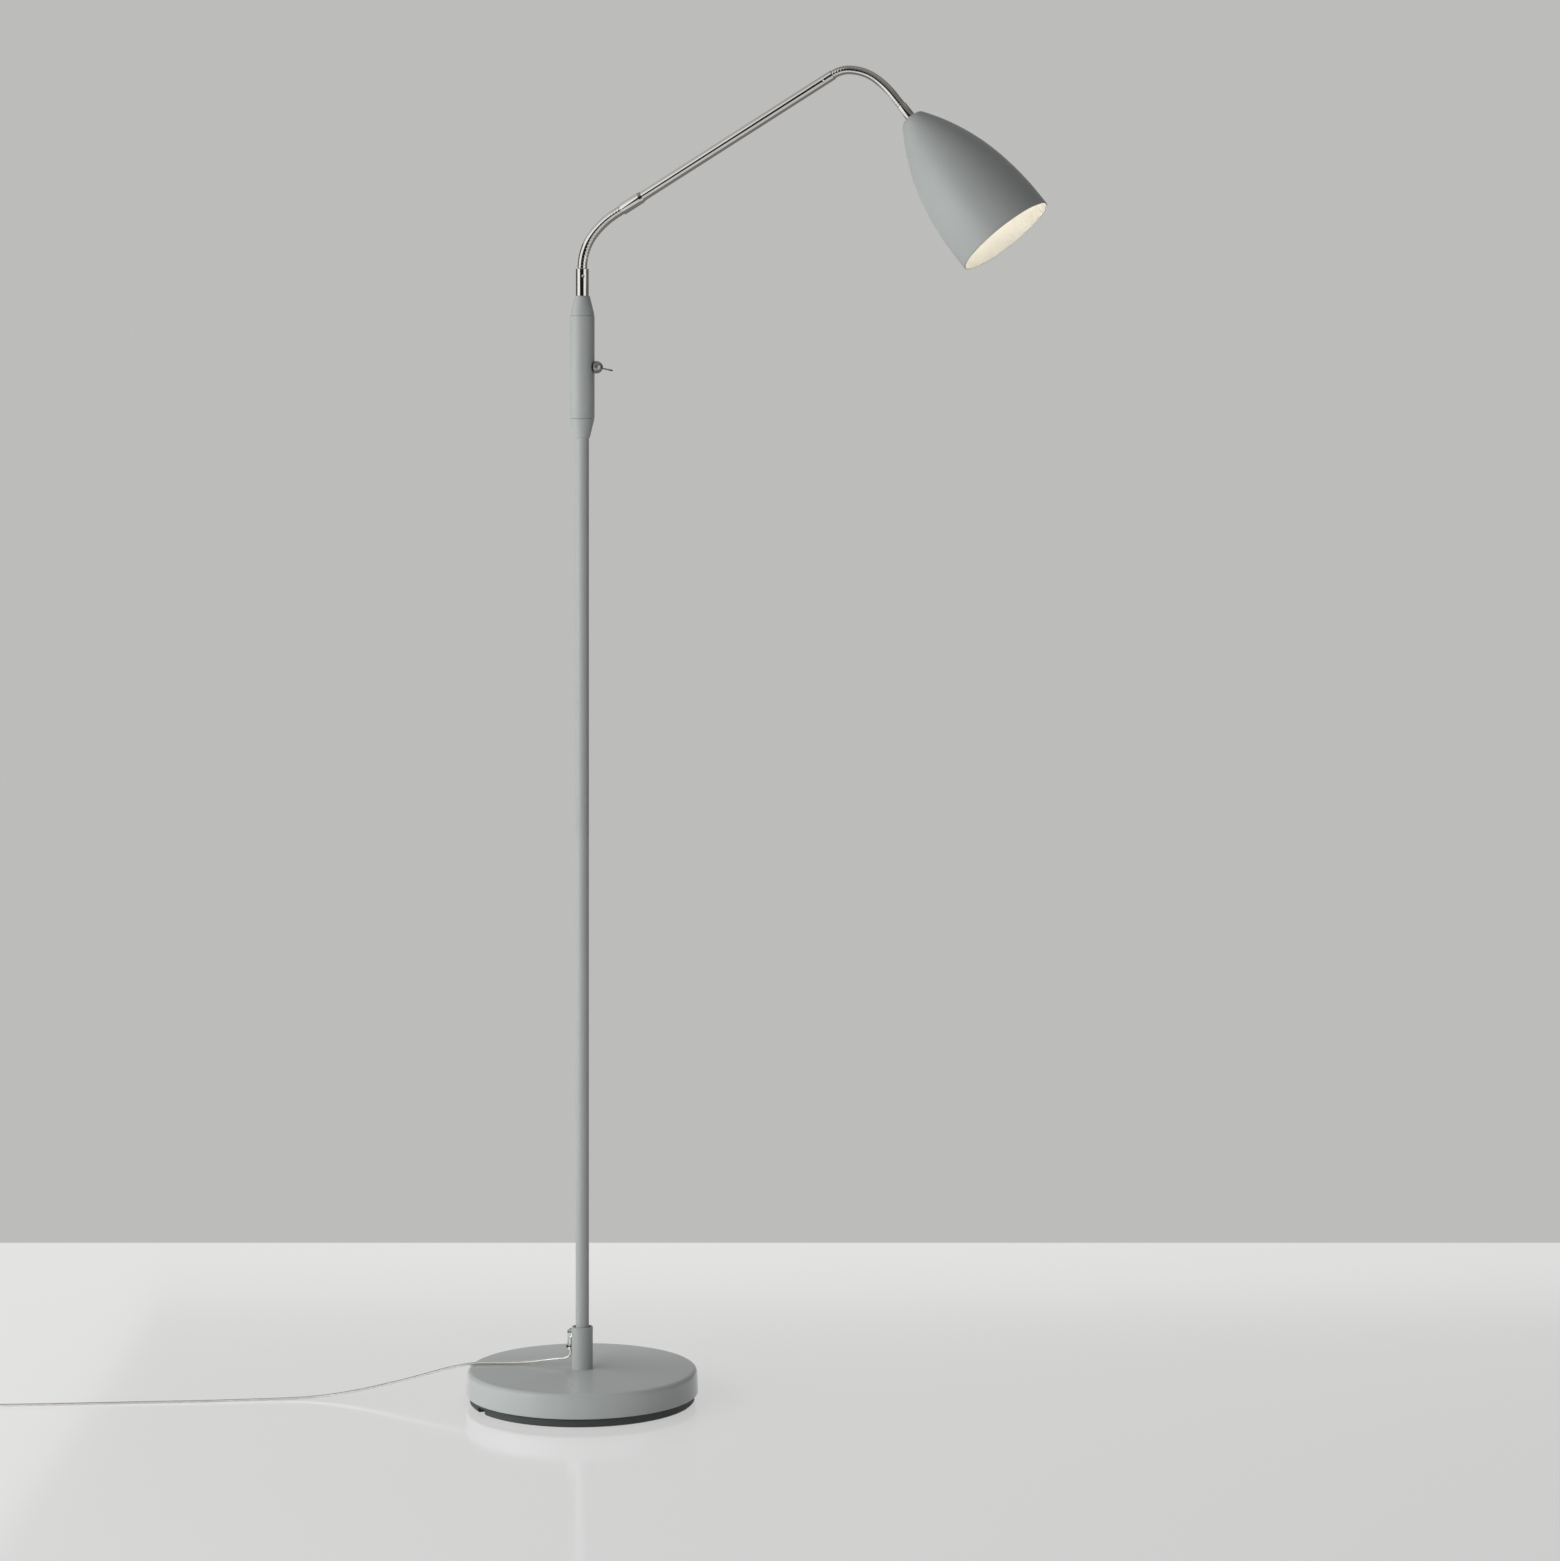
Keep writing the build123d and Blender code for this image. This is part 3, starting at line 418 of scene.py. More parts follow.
def cord_points():
    """Control points of the whole cord, from the clamp to the plug."""
    found = [Vector(cord_exit)] + [Vector(p) for p in cord_route]
    count = int(coil_turns * points_per_turn)
    grow = 1 / math.cos(math.pi / points_per_turn) ** 0.75
    found += [coil_place(k / points_per_turn, grow if k else 1.0) for k in range(count + 1)]
    end, ahead = coil_place(coil_turns), coil_axes(coil_turns)[0]
    rise = plug_height - end.z
    for share, lift in ((0.35, 0.0), (0.65, 1.0), (1.0, 1.0)):
        found.append(end + ahead * tail_length * share + Vector((0, 0, rise * lift)))
    return found


def spline_line(name, points, resolution=6):
    """Points read from a quadratic NURBS spline through control points."""
    curve = bpy.data.curves.new(name, "CURVE")
    curve.dimensions = "3D"
    curve.resolution_u = resolution
    spline = curve.splines.new("NURBS")
    spline.points.add(len(points) - 1)
    for spot, point in zip(spline.points, points):
        spot.co = (*point, 1)
    spline.order_u = 3
    spline.use_endpoint_u = True
    holder = bpy.data.objects.new(name, curve)
    bpy.context.scene.collection.objects.link(holder)
    mesh = bpy.data.meshes.new_from_object(holder)
    line = [v.co.copy() for v in mesh.vertices]
    bpy.data.objects.remove(holder)
    bpy.data.meshes.remove(mesh)
    bpy.data.curves.remove(curve)
    return line


def line_frames(line, side):
    """For each point of a line: the point, its wide side, level where it can be, and its thin side."""
    found = []
    wide = Vector(side).normalized()
    for i, point in enumerate(line):
        ahead = (line[min(i + 1, len(line) - 1)] - line[max(i - 1, 0)]).normalized()
        level = ahead.cross(Vector((0, 0, 1)))
        if level.length > 0.5:
            level.normalize()
            wide = level if level.dot(wide) > 0 else -level
        wide = (wide - ahead * wide.dot(ahead)).normalized()
        found.append((point, wide, wide.cross(ahead)))
    return found


def skin(name, rings, material, sharp):
    """A skin over rings of as many points each, capped at both ends."""
    count = len(rings[0])
    points = [point for ring in rings for point in ring]
    faces = []
    for i in range(len(rings) - 1):
        for k in range(count):
            a, b = i * count + k, i * count + (k + 1) % count
            faces.append((a, b, b + count, a + count))
    faces.append(tuple(range(count))[::-1])
    faces.append(tuple(range(len(points) - count, len(points))))
    return new_mesh(name, points, faces, material, sharp)


def swept(name, frames, section, material):
    """A tube along frames with a closed section of (wide, thin) points."""
    rings = [[point + wide * u + thin * v for u, v in section] for point, wide, thin in frames]
    return skin(name, rings, material, 40.0)


def twin_section(steps=20):
    """Outline of a twin cord: two round cores joined by a web."""
    radius = cord_thick / 2
    apart = cord_width / 2 - radius
    outer = 0.86  # share of each core's outer half that is round
    found = []
    for sign in (1, -1):
        for k in range(steps // 2 + 1):
            a = -math.pi / 2 * outer + math.pi * outer * k / (steps // 2)
            found.append((sign * (apart + radius * math.cos(a)), sign * radius * math.sin(a)))
    return found


def strand_section(side, sides=8):
    """A round strand in the left (-1) or right (1) core of the cord."""
    angles = [2 * math.pi * k / sides for k in range(sides)]
    return [(side * strand_aside + strand_r * math.cos(a), strand_r * math.sin(a)) for a in angles]


def make_cord():
    """The clear twin cord with its two strands, from the clamp to the plug."""
    line = spline_line("cord_line", cord_points())
    frames = line_frames(line, (0, -1, 0))
    cord = swept("cord", frames, twin_section(), sheath)
    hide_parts("cord_run", "cord_coil", "cord_tail")
    strands = [swept(f"cord_strand_{side + 2}", frames, strand_section(side), strand) for side in (-1, 1)]
    for piece in (cord, *strands):
        finish(piece, "stand", "cord_clear")
    return cord, line, strands


cord, cord_line, cord_strands = make_cord()


def make_inner_lead():
    """The cord's inner end, through the clamp and both slots into the pole."""
    route = ((-11.6, 50.1), (-11.6, 56), (-11.6, 61), (-8.5, 65), (-4, 68), (0, 72), (0, 90), (0, 300),
             (0, 990))
    points = [Vector((x, 0, z)) * mm for x, z in route]
    frames = line_frames(spline_line("lead_line", points, 8), (0, -1, 0))
    finish(swept("inner_lead", frames, twin_section(), sheath), "stand", "lead", "pole_lead")
    for side in (-1, 1):
        core = swept(f"inner_strand_{side + 2}", frames, strand_section(side), strand)
        finish(core, "stand", "cord_clear")


make_inner_lead()


# ---------------------------------------------------------------- plug
sleeve_length = 22.0 * mm
sleeve_rings = 9
plug_shoulder = 41.8 * mm  # the body is at its full width from here
plug_front = 58.0 * mm
plug_widths = (15.0 * mm, 20.0 * mm)  # at the sleeve, and what the shoulder adds
plug_thicknesses = (10.5 * mm, 3.1 * mm)
plug_rounding = 2.2 * mm
ridge_pitch = 1.7 * mm
ridge_depth = 0.5 * mm
pin_aside = 9.3 * mm
pin_r = 2.0 * mm
pin_length = 19.0 * mm
pin_sleeve_length = 9.0 * mm
pin_sleeve_r = 2.02 * mm


def plug_place():
    """Matrix at the plug's cord end, Z along the plug and X across its width."""
    ahead = coil_axes(coil_turns)[0]
    end = coil_place(coil_turns) + ahead * tail_length
    end.z = plug_height
    up = Vector((0, 0, 1))
    turn = Matrix((ahead.cross(up), up, ahead)).transposed()
    if turn.determinant() < 0:
        turn = Matrix((-ahead.cross(up), up, ahead)).transposed()
    return Matrix.Translation(end) @ turn.to_4x4()


def make_relief(place):
    """Ribbed strain relief, which widens towards the body."""
    small, large = 3.1 * mm, 4.6 * mm
    slope = 0.35 * mm
    profile = [(0.0, 0.0), (small - 0.5 * mm, 0.0)]
    for k in range(sleeve_rings):
        low, high = (sleeve_length * (k + share) / sleeve_rings for share in (0.12, 0.88))
        r = small + (large - small) * k / sleeve_rings
        profile += [(r - 0.55 * mm, low), (r, low + slope), (r + 0.12 * mm, high - slope),
                    (r - 0.45 * mm, high)]
    profile += [(large - 0.3 * mm, sleeve_length), (0.0, sleeve_length)]
    return lathe("plug_relief", profile, plug_clear, 32, False, place)


def plug_section(z):
    """Half width and half thickness of the plug's body, with its grip ridges and rounded ends."""
    share = min(1.0, (z - sleeve_length) / (plug_shoulder - sleeve_length))
    ease = math.sin(share * math.pi / 2)
    wide, thick = ((least + more * ease) / 2 for least, more in (plug_widths, plug_thicknesses))
    if z > plug_shoulder and int((z - plug_shoulder) / ridge_pitch) % 2 == 0:
        wide -= ridge_depth
    inset = min(z - sleeve_length, plug_front - z) / plug_rounding
    edge = min(1.0, max(0.0, inset) ** 0.5 + 0.01) if inset < 1 else 1.0
    return wide * (0.9 + 0.1 * edge), thick * (0.85 + 0.15 * edge)


def make_plug_body(place, steps=22, sides=40, corner=0.45):
    """Flat moulded body with rounded corners."""
    rings = []
    for i in range(steps + 1):
        z = sleeve_length + (plug_front - sleeve_length) * i / steps
        wide, thick = plug_section(z)
        ring = []
        for k in range(sides):
            c, s = math.cos(2 * math.pi * k / sides), math.sin(2 * math.pi * k / sides)
            x = wide * math.copysign(abs(c) ** corner, c)
            y = thick * math.copysign(abs(s) ** corner, s)
            ring.append(place @ Vector((x, y, z)))
        rings.append(ring)
    return skin("plug_shell", rings, plug_clear, 50)


def make_pins(place):
    """Two pins, each with a black sleeve at its root."""
    pins = []
    root, tip, cover = plug_front, plug_front + pin_length, plug_front + pin_sleeve_length
    for side in (-1, 1):
        move = place @ Matrix.Translation((side * pin_aside, 0, 0))
        pin = rounded([(0, root, 0), (pin_r, root, 0), (pin_r, tip, 1.2 * mm), (0, tip, 0)])
        pins.append(lathe(f"plug_pin_{side + 2}", pin, steel, 24, False, move))
        inner = pin_sleeve_r - 0.05 * mm
        sleeve = rounded([(inner, root, 0), (pin_sleeve_r, root, 0), (pin_sleeve_r, cover, 0.1 * mm),
                          (inner, cover, 0)])
        pins.append(lathe(f"plug_pin_sleeve_{side + 2}", sleeve, black, 24, True, move))
    return pins


def make_plug():
    place = plug_place()
    relief, body, pins = make_relief(place), make_plug_body(place), make_pins(place)
    finish(relief, "stand", "plug_clear", "plug_sleeve")
    finish(body, "stand", "plug_clear", "plug_body")
    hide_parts("plug_pins")
    for pin in pins:
        finish(pin, "stand", "brass_pins")
    return [relief, body, *pins]


plug = make_plug()


# ---------------------------------------------------------------- goosenecks
crown_rows = (0.0, 0.04, 0.15, 0.38, 0.62, 0.85, 0.96)  # places across a turn's crown
groove_rows = (0.0, 0.3, 0.7)  # and across the groove after it
# Each pair is a closed turn's size, and what an open turn adds.
groove_share = (0.04, 0.22)
crown_fall = (0.003 * mm, 0.07 * mm)
groove_depth = (0.04 * mm, 0.34 * mm)
open_end = 18.0 * mm  # the turns open over this length towards each end
mouth_tuck = 0.45 * mm  # the neck is this much thinner for as far at its first mouth
neck_overhang = 8.0 * mm  # hidden in the ferrules


class Neck:
    """One wound neck: a tube of tight turns along the CAD neck's path."""

    def __init__(self, name, start, heading, bends, straight, crest, turn_pitch):
        """From start at a heading, round the bends and straight on, in turns of a crest radius and pitch."""
        self.name, self.start, self.heading, self.bends = name, start, heading, bends
        self.length = sum(radius * math.radians(turn) for radius, turn in bends) + straight
        self.crest, self.turn_pitch = crest, turn_pitch

    def at(self, s):
        return place_on(self.start, self.heading, self.bends, s)

    def point(self, s):
        x, z, heading = self.at(s)
        return Vector((x, 0, z))

    def curl(self, s):
        """How sharply the neck bends at s, as a share of its sharpest bend."""
        sharpest = max(1 / radius for radius, turn in self.bends)
        for radius, turn in self.bends:
            if 0 <= s < radius * math.radians(turn):
                return 1 / radius / sharpest
            s -= radius * math.radians(turn)
        return 0.0

    def gape(self, s, angle):
        """0 where the turns lie closed and smooth, up to 1 inside a sharp bend and near an end."""
        inside = max(0.0, -math.cos(angle)) * self.curl(s)
        return max(inside, 1 - min(abs(s), abs(self.length - s)) / open_end)

    def spot(self, row, angle):
        """Distance along the neck and radius on one row of its helix, on a turn's crown or in its groove."""
        turn, k = divmod(row, len(crown_rows) + len(groove_rows))
        gape = self.gape(turn * self.turn_pitch, angle)
        sizes = (groove_share, crown_fall, groove_depth)
        groove, fall, depth = (closed + more * gape for closed, more in sizes)
        if k < len(crown_rows):
            phase = crown_rows[k] * (1 - groove)
            radius = self.crest - fall * (2 * crown_rows[k] - 1) ** 4
        else:
            across = groove_rows[k - len(crown_rows)]
            phase = 1 - groove * (1 - across)
            radius = self.crest - fall - depth * math.sin(math.pi * across) ** 0.7
        s = (turn + phase + 0.5 - angle / (2 * math.pi)) * self.turn_pitch
        return s, radius - (mouth_tuck if abs(s) < mouth_tuck else 0.0)

    def piece(self, name, first, last, sides=64):
        """The wound tube between two of its turns, cut along its helix."""
        per_turn = len(crown_rows) + len(groove_rows)
        points, faces, known = [], [], {}

        def vertex(row, k):
            if k == sides:
                row, k = row - per_turn, 0
            if (row, k) not in known:
                angle = 2 * math.pi * k / sides
                s, r = self.spot(row, angle)
                known[row, k] = len(points)
                around_axis = Vector((r * math.cos(angle), r * math.sin(angle), 0))
                points.append(axis_frame(*self.at(s)) @ around_axis)
            return known[row, k]

        for row in range(first * per_turn, last * per_turn):
            for k in range(sides):
                corners = ((row, k), (row, k + 1), (row + 1, k + 1), (row + 1, k))
                faces.append([vertex(*corner) for corner in corners])
        return new_mesh(name, points, faces, nickel, 22)

    def marks(self, samples=400):
        """The neck's joints with their distances along it, in order."""
        places = [self.length * k / samples for k in range(samples)]
        found = []
        for joint in frame["joints"]:
            if joint["name"].startswith(f"{self.name}_"):
                spot = Vector(joint["pos_m"])
                found.append((min(places, key=lambda s: (self.point(s) - spot).length), joint))
        return sorted(found, key=lambda mark: mark[0])

    def build(self):
        """One piece for each of the neck's joints, cut halfway between neighbouring joints at whole turns."""
        marks = self.marks()
        places = [s for s, joint in marks]
        middles = [(a + b) / 2 for a, b in zip(places, places[1:])]
        cuts = [-neck_overhang] + middles + [self.length + neck_overhang]
        turns = [round(s / self.turn_pitch) for s in cuts]
        for k, (s, joint) in enumerate(marks):
            tube = self.piece(f"{self.name}_turns_{k + 1}", turns[k], turns[k + 1])
            last = k == len(marks) - 1
            start = (turns[k] + 0.5) * self.turn_pitch if k else 0.0
            end = self.length if last else (turns[k + 1] - 0.5) * self.turn_pitch
            self.point(start)
            self.point(end)
            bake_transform(tube)
            if k == 0:
                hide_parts(f"{self.name}_neck_root")
            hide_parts(f"{self.name}_neck_tip" if last else f"{self.name}_neck_link_{k + 1}")


lower_bends = ((54.0 * mm, 40.0), (85.0 * mm, 19.6))  # radius and degrees
lower_neck = Neck("lower", (0.0, lower_mouth), 90.0, lower_bends, 8.0 * mm, lower_crest, 3.3 * mm)
lower_neck.build()
arm_x, arm_z, arm_heading = lower_neck.at(lower_neck.length)
mouth_x, mouth_z, mouth_heading = place_on((arm_x, arm_z), arm_heading, (), arm_length)
upper_bends = ((30.6 * mm, 33.4), (48.6 * mm, 33.0), (89.6 * mm, 14.7))
upper_neck = Neck("upper", (mouth_x, mouth_z), mouth_heading, upper_bends, 13.5 * mm, upper_crest, 2.93 * mm)
upper_neck.build()
end_x, end_z, end_heading = upper_neck.at(upper_neck.length)
shade_x, shade_z, shade_heading = place_on((end_x, end_z), end_heading, (), shade_ferrule_length)


# ---------------------------------------------------------------- polished ferrules and arm
def fine_rows(profile, step):
    """A profile with points added along its long runs, so that a dent has something to press."""
    found = []
    for (r0, z0), (r1, z1) in zip(profile, profile[1:] + profile[:1]):
        count = max(1, int(math.hypot(r1 - r0, z1 - z0) / step))
        found += [(r0 + (r1 - r0) * k / count, z0 + (z1 - z0) * k / count) for k in range(count)]
    return found


def around(radius, degrees, z):
    """A point on a round piece, at an angle about its own Z."""
    turn = math.radians(degrees)
    return Vector((radius * math.cos(turn), radius * math.sin(turn), z))


def make_ferrules():
    """The lower ferrule, the arm's ferrule and tube, and the shade's ferrule, with their crimps."""
    soft, edge = 0.45 * mm, 0.1 * mm
    low, high, r = cone_high, lower_mouth, 6.45 * mm
    profile = rounded([(5.05 * mm, low, 0), (r, low, 0.25 * mm), (r, high, soft), (lower_bore, high, edge),
                       (lower_bore, high - 12 * mm, 0)])
    lower = lathe("lower_ferrule_shell", fine_rows(profile, 0.35 * mm), nickel, 128)
    dent(lower, around(r, -63.0, high - 7.4 * mm), 1.3 * mm, 0.55 * mm)
    finish(lower, "stand", "polished_nickel", "lower_ferrule")

    place = axis_frame(arm_x, arm_z, arm_heading)
    r, long, bore = ferrule_r, ferrule_length, arm_r + 0.02 * mm
    profile = rounded([(lower_bore, 0, edge), (r, 0, soft), (r, 21.3 * mm, 0.8 * mm),
                       (5.35 * mm, long, 0.15 * mm), (bore, long, 0), (bore, 14 * mm, 0),
                       (lower_bore, 12 * mm, 0)])
    shell = lathe("arm_ferrule_shell", profile, nickel, 96, True, place)
    finish(shell, "arm", "polished_nickel", "arm_ferrule")

    start, end = 13.5 * mm, arm_length
    profile = rounded([(4.4 * mm, start, 0), (arm_r, start, 0), (arm_r, end, 0.3 * mm),
                       (upper_bore, end, edge)])
    tube = lathe("arm_tube_shell", fine_rows(profile, 0.4 * mm), nickel, 96, True, place)
    dent(tube, place @ around(arm_r, 100.0, end - 10.8 * mm), 1.2 * mm, 0.5 * mm)
    finish(tube, "arm", "polished_nickel", "arm_tube")

    place = axis_frame(end_x, end_z, end_heading)
    r, long, thread_r, thread_end = shade_ferrule_r, shade_ferrule_length, 4.0 * mm, 27 * mm
    profile = rounded([(upper_bore, 0, edge), (r, 0, 0.3 * mm), (r, long, edge), (thread_r, long, 0),
                       (thread_r, thread_end, 0.3 * mm), (2.5 * mm, thread_end, 0), (2.5 * mm, 12 * mm, 0),
                       (upper_bore, 12 * mm, 0)])
    shell = lathe("shade_ferrule_shell", profile, nickel, 96, True, place)
    finish(shell, "head", "polished_nickel", "shade_ferrule")


make_ferrules()


# ---------------------------------------------------------------- painted pieces
def make_painted():
    """Base cover, pole and housing with softly rounded painted edges."""
    wall, stem_bore = 2.0 * mm, 5.05 * mm
    top_r = base_r - 0.8 * mm
    profile = rounded([(stem_bore, base_top, 0), (top_r, base_top, 4.5 * mm), (base_r, cover_low, 0.9 * mm),
                       (base_r - wall, cover_low, 0.7 * mm), (top_r - wall, base_top - wall, 2.5 * mm),
                       (stem_bore, base_top - wall, 0)], 8)
    # The base shell takes the lighter coat, which is painted light.
    finish(lathe("base_shell", profile, base_grey_painted_lighter, 192), "stand", "grey_paint", "base_cover")

    low, bore = 42 * mm, 4.5 * mm
    profile = rounded([(bore, low, 0), (pole_r, low, 0), (pole_r, pole_top, 0), (bore, pole_top, 0)])
    finish(lathe("pole_shell", profile, grey, 64), "stand", "grey_paint", "pole_tube")

    r, spigot, tube_bore = housing_r, 10.7 * mm, 10.8 * mm
    soft, edge, seam = 0.35 * mm, 0.1 * mm, 0.3 * mm
    pole_bore, stop = pole_r + 0.05 * mm, 9.5 * mm
    profile = rounded([(pole_bore, cone_low, edge), (cone_r, cone_low, soft), (r, housing_low, soft),
                       (spigot, housing_low, 0), (spigot, 966 * mm, 0), (stop, 966 * mm, 0),
                       (stop, 955 * mm, 0), (pole_bore, pole_top, 0)])
    shell = lathe("housing_lower_cone_shell", profile, grey)
    finish(shell, "stand", "grey_paint", "housing_lower_cone")
    low, high = housing_low + seam, housing_high - seam
    profile = rounded([(tube_bore, low, 0), (r, low, soft), (r, high, soft), (tube_bore, high, 0)])
    finish(lathe("housing_tube_shell", profile, grey), "stand", "grey_paint", "housing_tube")
    low = 1052.5 * mm
    profile = rounded([(stem_bore, 1068.5 * mm, 0), (7.5 * mm, 1062.5 * mm, 0), (stop, low, 0),
                       (spigot, low, 0), (spigot, housing_high, 0), (r, housing_high, soft),
                       (cone_r, cone_high, soft), (stem_bore, cone_high, edge)])
    shell = lathe("housing_upper_cone_shell", profile, grey)
    finish(shell, "stand", "grey_paint", "housing_upper_cone")


make_painted()


# ---------------------------------------------------------------- shade
def tangent_arc(start, tangent, end, steps):
    """Points of the arc that leaves start along tangent and ends at end, and its direction there."""
    start, end, tangent = Vector(start), Vector(end), Vector(tangent).normalized()
    chord = end - start
    normal = Vector((-tangent.y, tangent.x))
    radius = chord.length_squared / (2 * chord.dot(normal))
    centre = start + normal * radius
    a0 = math.atan2(start.y - centre.y, start.x - centre.x)
    a1 = math.atan2(end.y - centre.y, end.x - centre.x)
    turn = (a1 - a0 + math.pi) % (2 * math.pi) - math.pi
    found = []
    for k in range(steps + 1):
        a = a0 + turn * k / steps
        found.append((centre.x + abs(radius) * math.cos(a), centre.y + abs(radius) * math.sin(a)))
    last = Vector(found[-1]) - centre
    onward = Vector((-last.y, last.x)) * math.copysign(1, turn)
    return found, onward.normalized()


def bell(inset):
    """The shade's side from rim to crown as (radius, distance from the crown), moved in by inset."""
    rim, rim_start = shade_rim_r - inset, 135 * mm
    waist = (44.2 * mm - inset, 80 * mm)
    shoulder = (12.9 * mm - inset, 3.5 * mm + inset / 2)
    crown = (7.0 * mm - inset, inset)
    lower, onward = tangent_arc((rim, rim_start), (0, -1), waist, 14)
    upper = tangent_arc(lower[-1], onward, shoulder, 22)[0]
    turn_in = tangent_arc(crown, (1, 0), upper[-1], 6)[0]
    return [(rim, shade_length)] + lower + upper[1:] + turn_in[::-1][1:]


def make_shade():
    """Spun bell, painted outside and enamelled inside, with a rounded rim."""
    place = axis_frame(shade_x, shade_z, shade_heading)
    half = shade_wall / 2
    rim_r, rim_z = shade_rim_r - half, shade_length - half
    quarter = [math.pi / 2 * k / 5 for k in range(6)]
    rim_out = [(rim_r + half * math.cos(a), rim_z + half * math.sin(a)) for a in quarter]
    rim_in = [(rim_r - half * math.sin(a), rim_z + half * math.cos(a)) for a in quarter]
    hole = 4.05 * mm
    outside = [(hole, 0.0)] + bell(0.0)[:0:-1] + rim_out
    shell = lathe("shade_outside", outside, grey, 160, False, place)
    finish(shell, "head", "grey_paint", "shade")
    inside = rim_in + bell(shade_wall)[1:] + [(hole, shade_wall)]
    finish(lathe("shade_inside", inside, enamel, 160, False, place), "head", "grey_paint")


make_shade()


# ---------------------------------------------------------------- switch
def make_switch():
    """Domed nut and lever."""
    place = Matrix.Translation((0, 0, switch_height)) @ Matrix.Rotation(math.radians(90), 4, "Y")
    r, low, edge = 6.15 * mm, 13.7 * mm, 0.15 * mm
    crown = low + 1.1 * mm
    hole, bore, step = 2.3 * mm, 3.05 * mm, low + 4 * mm
    profile = [(bore, low), (r - edge, low), (r, low + edge)]
    for k in range(13):
        a = math.radians(90 * k / 12)
        if r * math.cos(a) < hole:
            break
        profile.append((r * math.cos(a), crown + r * math.sin(a)))
    profile += [(hole, crown + 5.72 * mm), (hole, step), (bore, step)]
    dome = lathe("switch_dome", profile, satin, 64, True, place)
    finish(dome, "stand", "polished_nickel", "switch_dome_nut")

    pivot, tilt = 15.5 * mm, 102  # the lever hangs 12 degrees below level
    place = Matrix.Translation((pivot, 0, switch_height)) @ Matrix.Rotation(math.radians(tilt), 4, "Y")
    ball, thin, thick = 2.0 * mm, 0.75 * mm, 0.9 * mm
    angles = [math.radians(-80 + 16 * k) for k in range(10)]
    profile = [(0, -ball)] + [(ball * math.cos(a), ball * math.sin(a)) for a in angles]
    profile += [(thin, 2.2 * mm), (thin, 11.0 * mm), (thick, 13.0 * mm), (thick, 15.8 * mm),
                (0.65 * mm, 16.25 * mm), (0, 16.3 * mm)]
    stick = lathe("switch_stick", profile, lever_steel, 32, False, place)
    finish(stick, "switch", "polished_nickel", "switch_lever")


make_switch()

# ---------------------------------------------------------------- CAD nodes that stay
kept = {
    grey: ("pole_foot",),
    iron: ("base_weight",),
    dark_plate: ("base_bottom_plate",),
    steel: ("base_stem", "base_washer", "base_nut", "housing_stem", "housing_nut", "switch_bushing",
            "shade_locknut", "bulb_cap"),
    dark_steel: ("clamp_screws",),
    clamp_clear: ("cord_clamp",),
    rubber: ("switch_washer",),
    black: ("switch_case",),
    holder_white: ("lampholder_cap", "lampholder", "housing_lead", "arm_lead"),
    opal: ("bulb_glass",),
}
for material, names in kept.items():
    for name in names:
        dress(name, material)


# ---------------------------------------------------------------- studio
floor_behind = -0.775  # the backdrop begins here, behind the lamp
floor_ahead = 5.2
floor_side = 5.0
floor_lift = 0.475  # even tone where the floor is seen
wall_tone = (0.505, 0.505, 0.498)
world_level = 0.25


def seen_rays(tree):
    """1 where the camera, a reflection or clear plastic looks, and 0 for light that falls on things."""
    path = tree.nodes.new("ShaderNodeLightPath")
    total = path.outputs["Is Camera Ray"]
    for name in ("Is Glossy Ray", "Is Transmission Ray"):
        add = tree.nodes.new("ShaderNodeMath")
        add.operation = "ADD"
        add.use_clamp = True
        tree.links.new(total, add.inputs[0])
        tree.links.new(path.outputs[name], add.inputs[1])
        total = add.outputs[0]
    return total


def floor_material():
    """Pale, slightly glossy floor: it mirrors the base softly, and an even tone lifts it where it is seen."""
    n = Nodes("floor").set(Roughness=0.11, IOR=1.55, Emission_Color=(1.0, 1.0, 0.99, 1))
    seen = seen_rays(n.tree)
    lighting, showing = (0.86, 0.86, 0.855), (0.25, 0.25, 0.248)
    n.link(n.ramp(seen, lighting, showing, 0.0, 1.0), n.shader.inputs["Base Color"])
    n.link(n.ramp(seen, 0.0, floor_lift, 0.0, 1.0), n.shader.inputs["Emission Strength"])
    return n.material


def studio_point(azimuth, distance, height):
    """A point at an azimuth from the viewer's direction, positive to the picture's right."""
    right, towards = viewer_axes()
    angle = math.radians(azimuth)
    return (right * math.sin(angle) + towards * math.cos(angle)) * distance + Vector((0, 0, height))


def level_corners(sides, depths, height):
    """Corners of a level sheet, between distances to the picture's right and towards the viewer."""
    right, towards = viewer_axes()
    spots = [(sides[0], depths[0]), (sides[1], depths[0]), (sides[1], depths[1]), (sides[0], depths[1])]
    return [right * side + towards * depth + Vector((0, 0, height)) for side, depth in spots]


def make_floor():
    """A pale floor that ends behind the lamp, where the backdrop begins."""
    corners = level_corners((-floor_side, floor_side), (floor_behind, floor_ahead), 0.0)
    new_mesh("floor", corners[::-1], [(0, 1, 2, 3)], floor_material())


def make_card(name, tone, points, faces):
    """A card of one tone, from black to white, which only reflections show."""
    cloth = Nodes(name).set(Roughness=1.0, Base_Color=(0, 0, 0, 1), Specular_IOR_Level=0.0,
                            Emission_Color=(1, 1, 1, 1), Emission_Strength=tone)
    card = new_mesh(name, points, faces, cloth.material)
    card.visible_camera = card.visible_diffuse = card.visible_transmission = card.visible_shadow = False


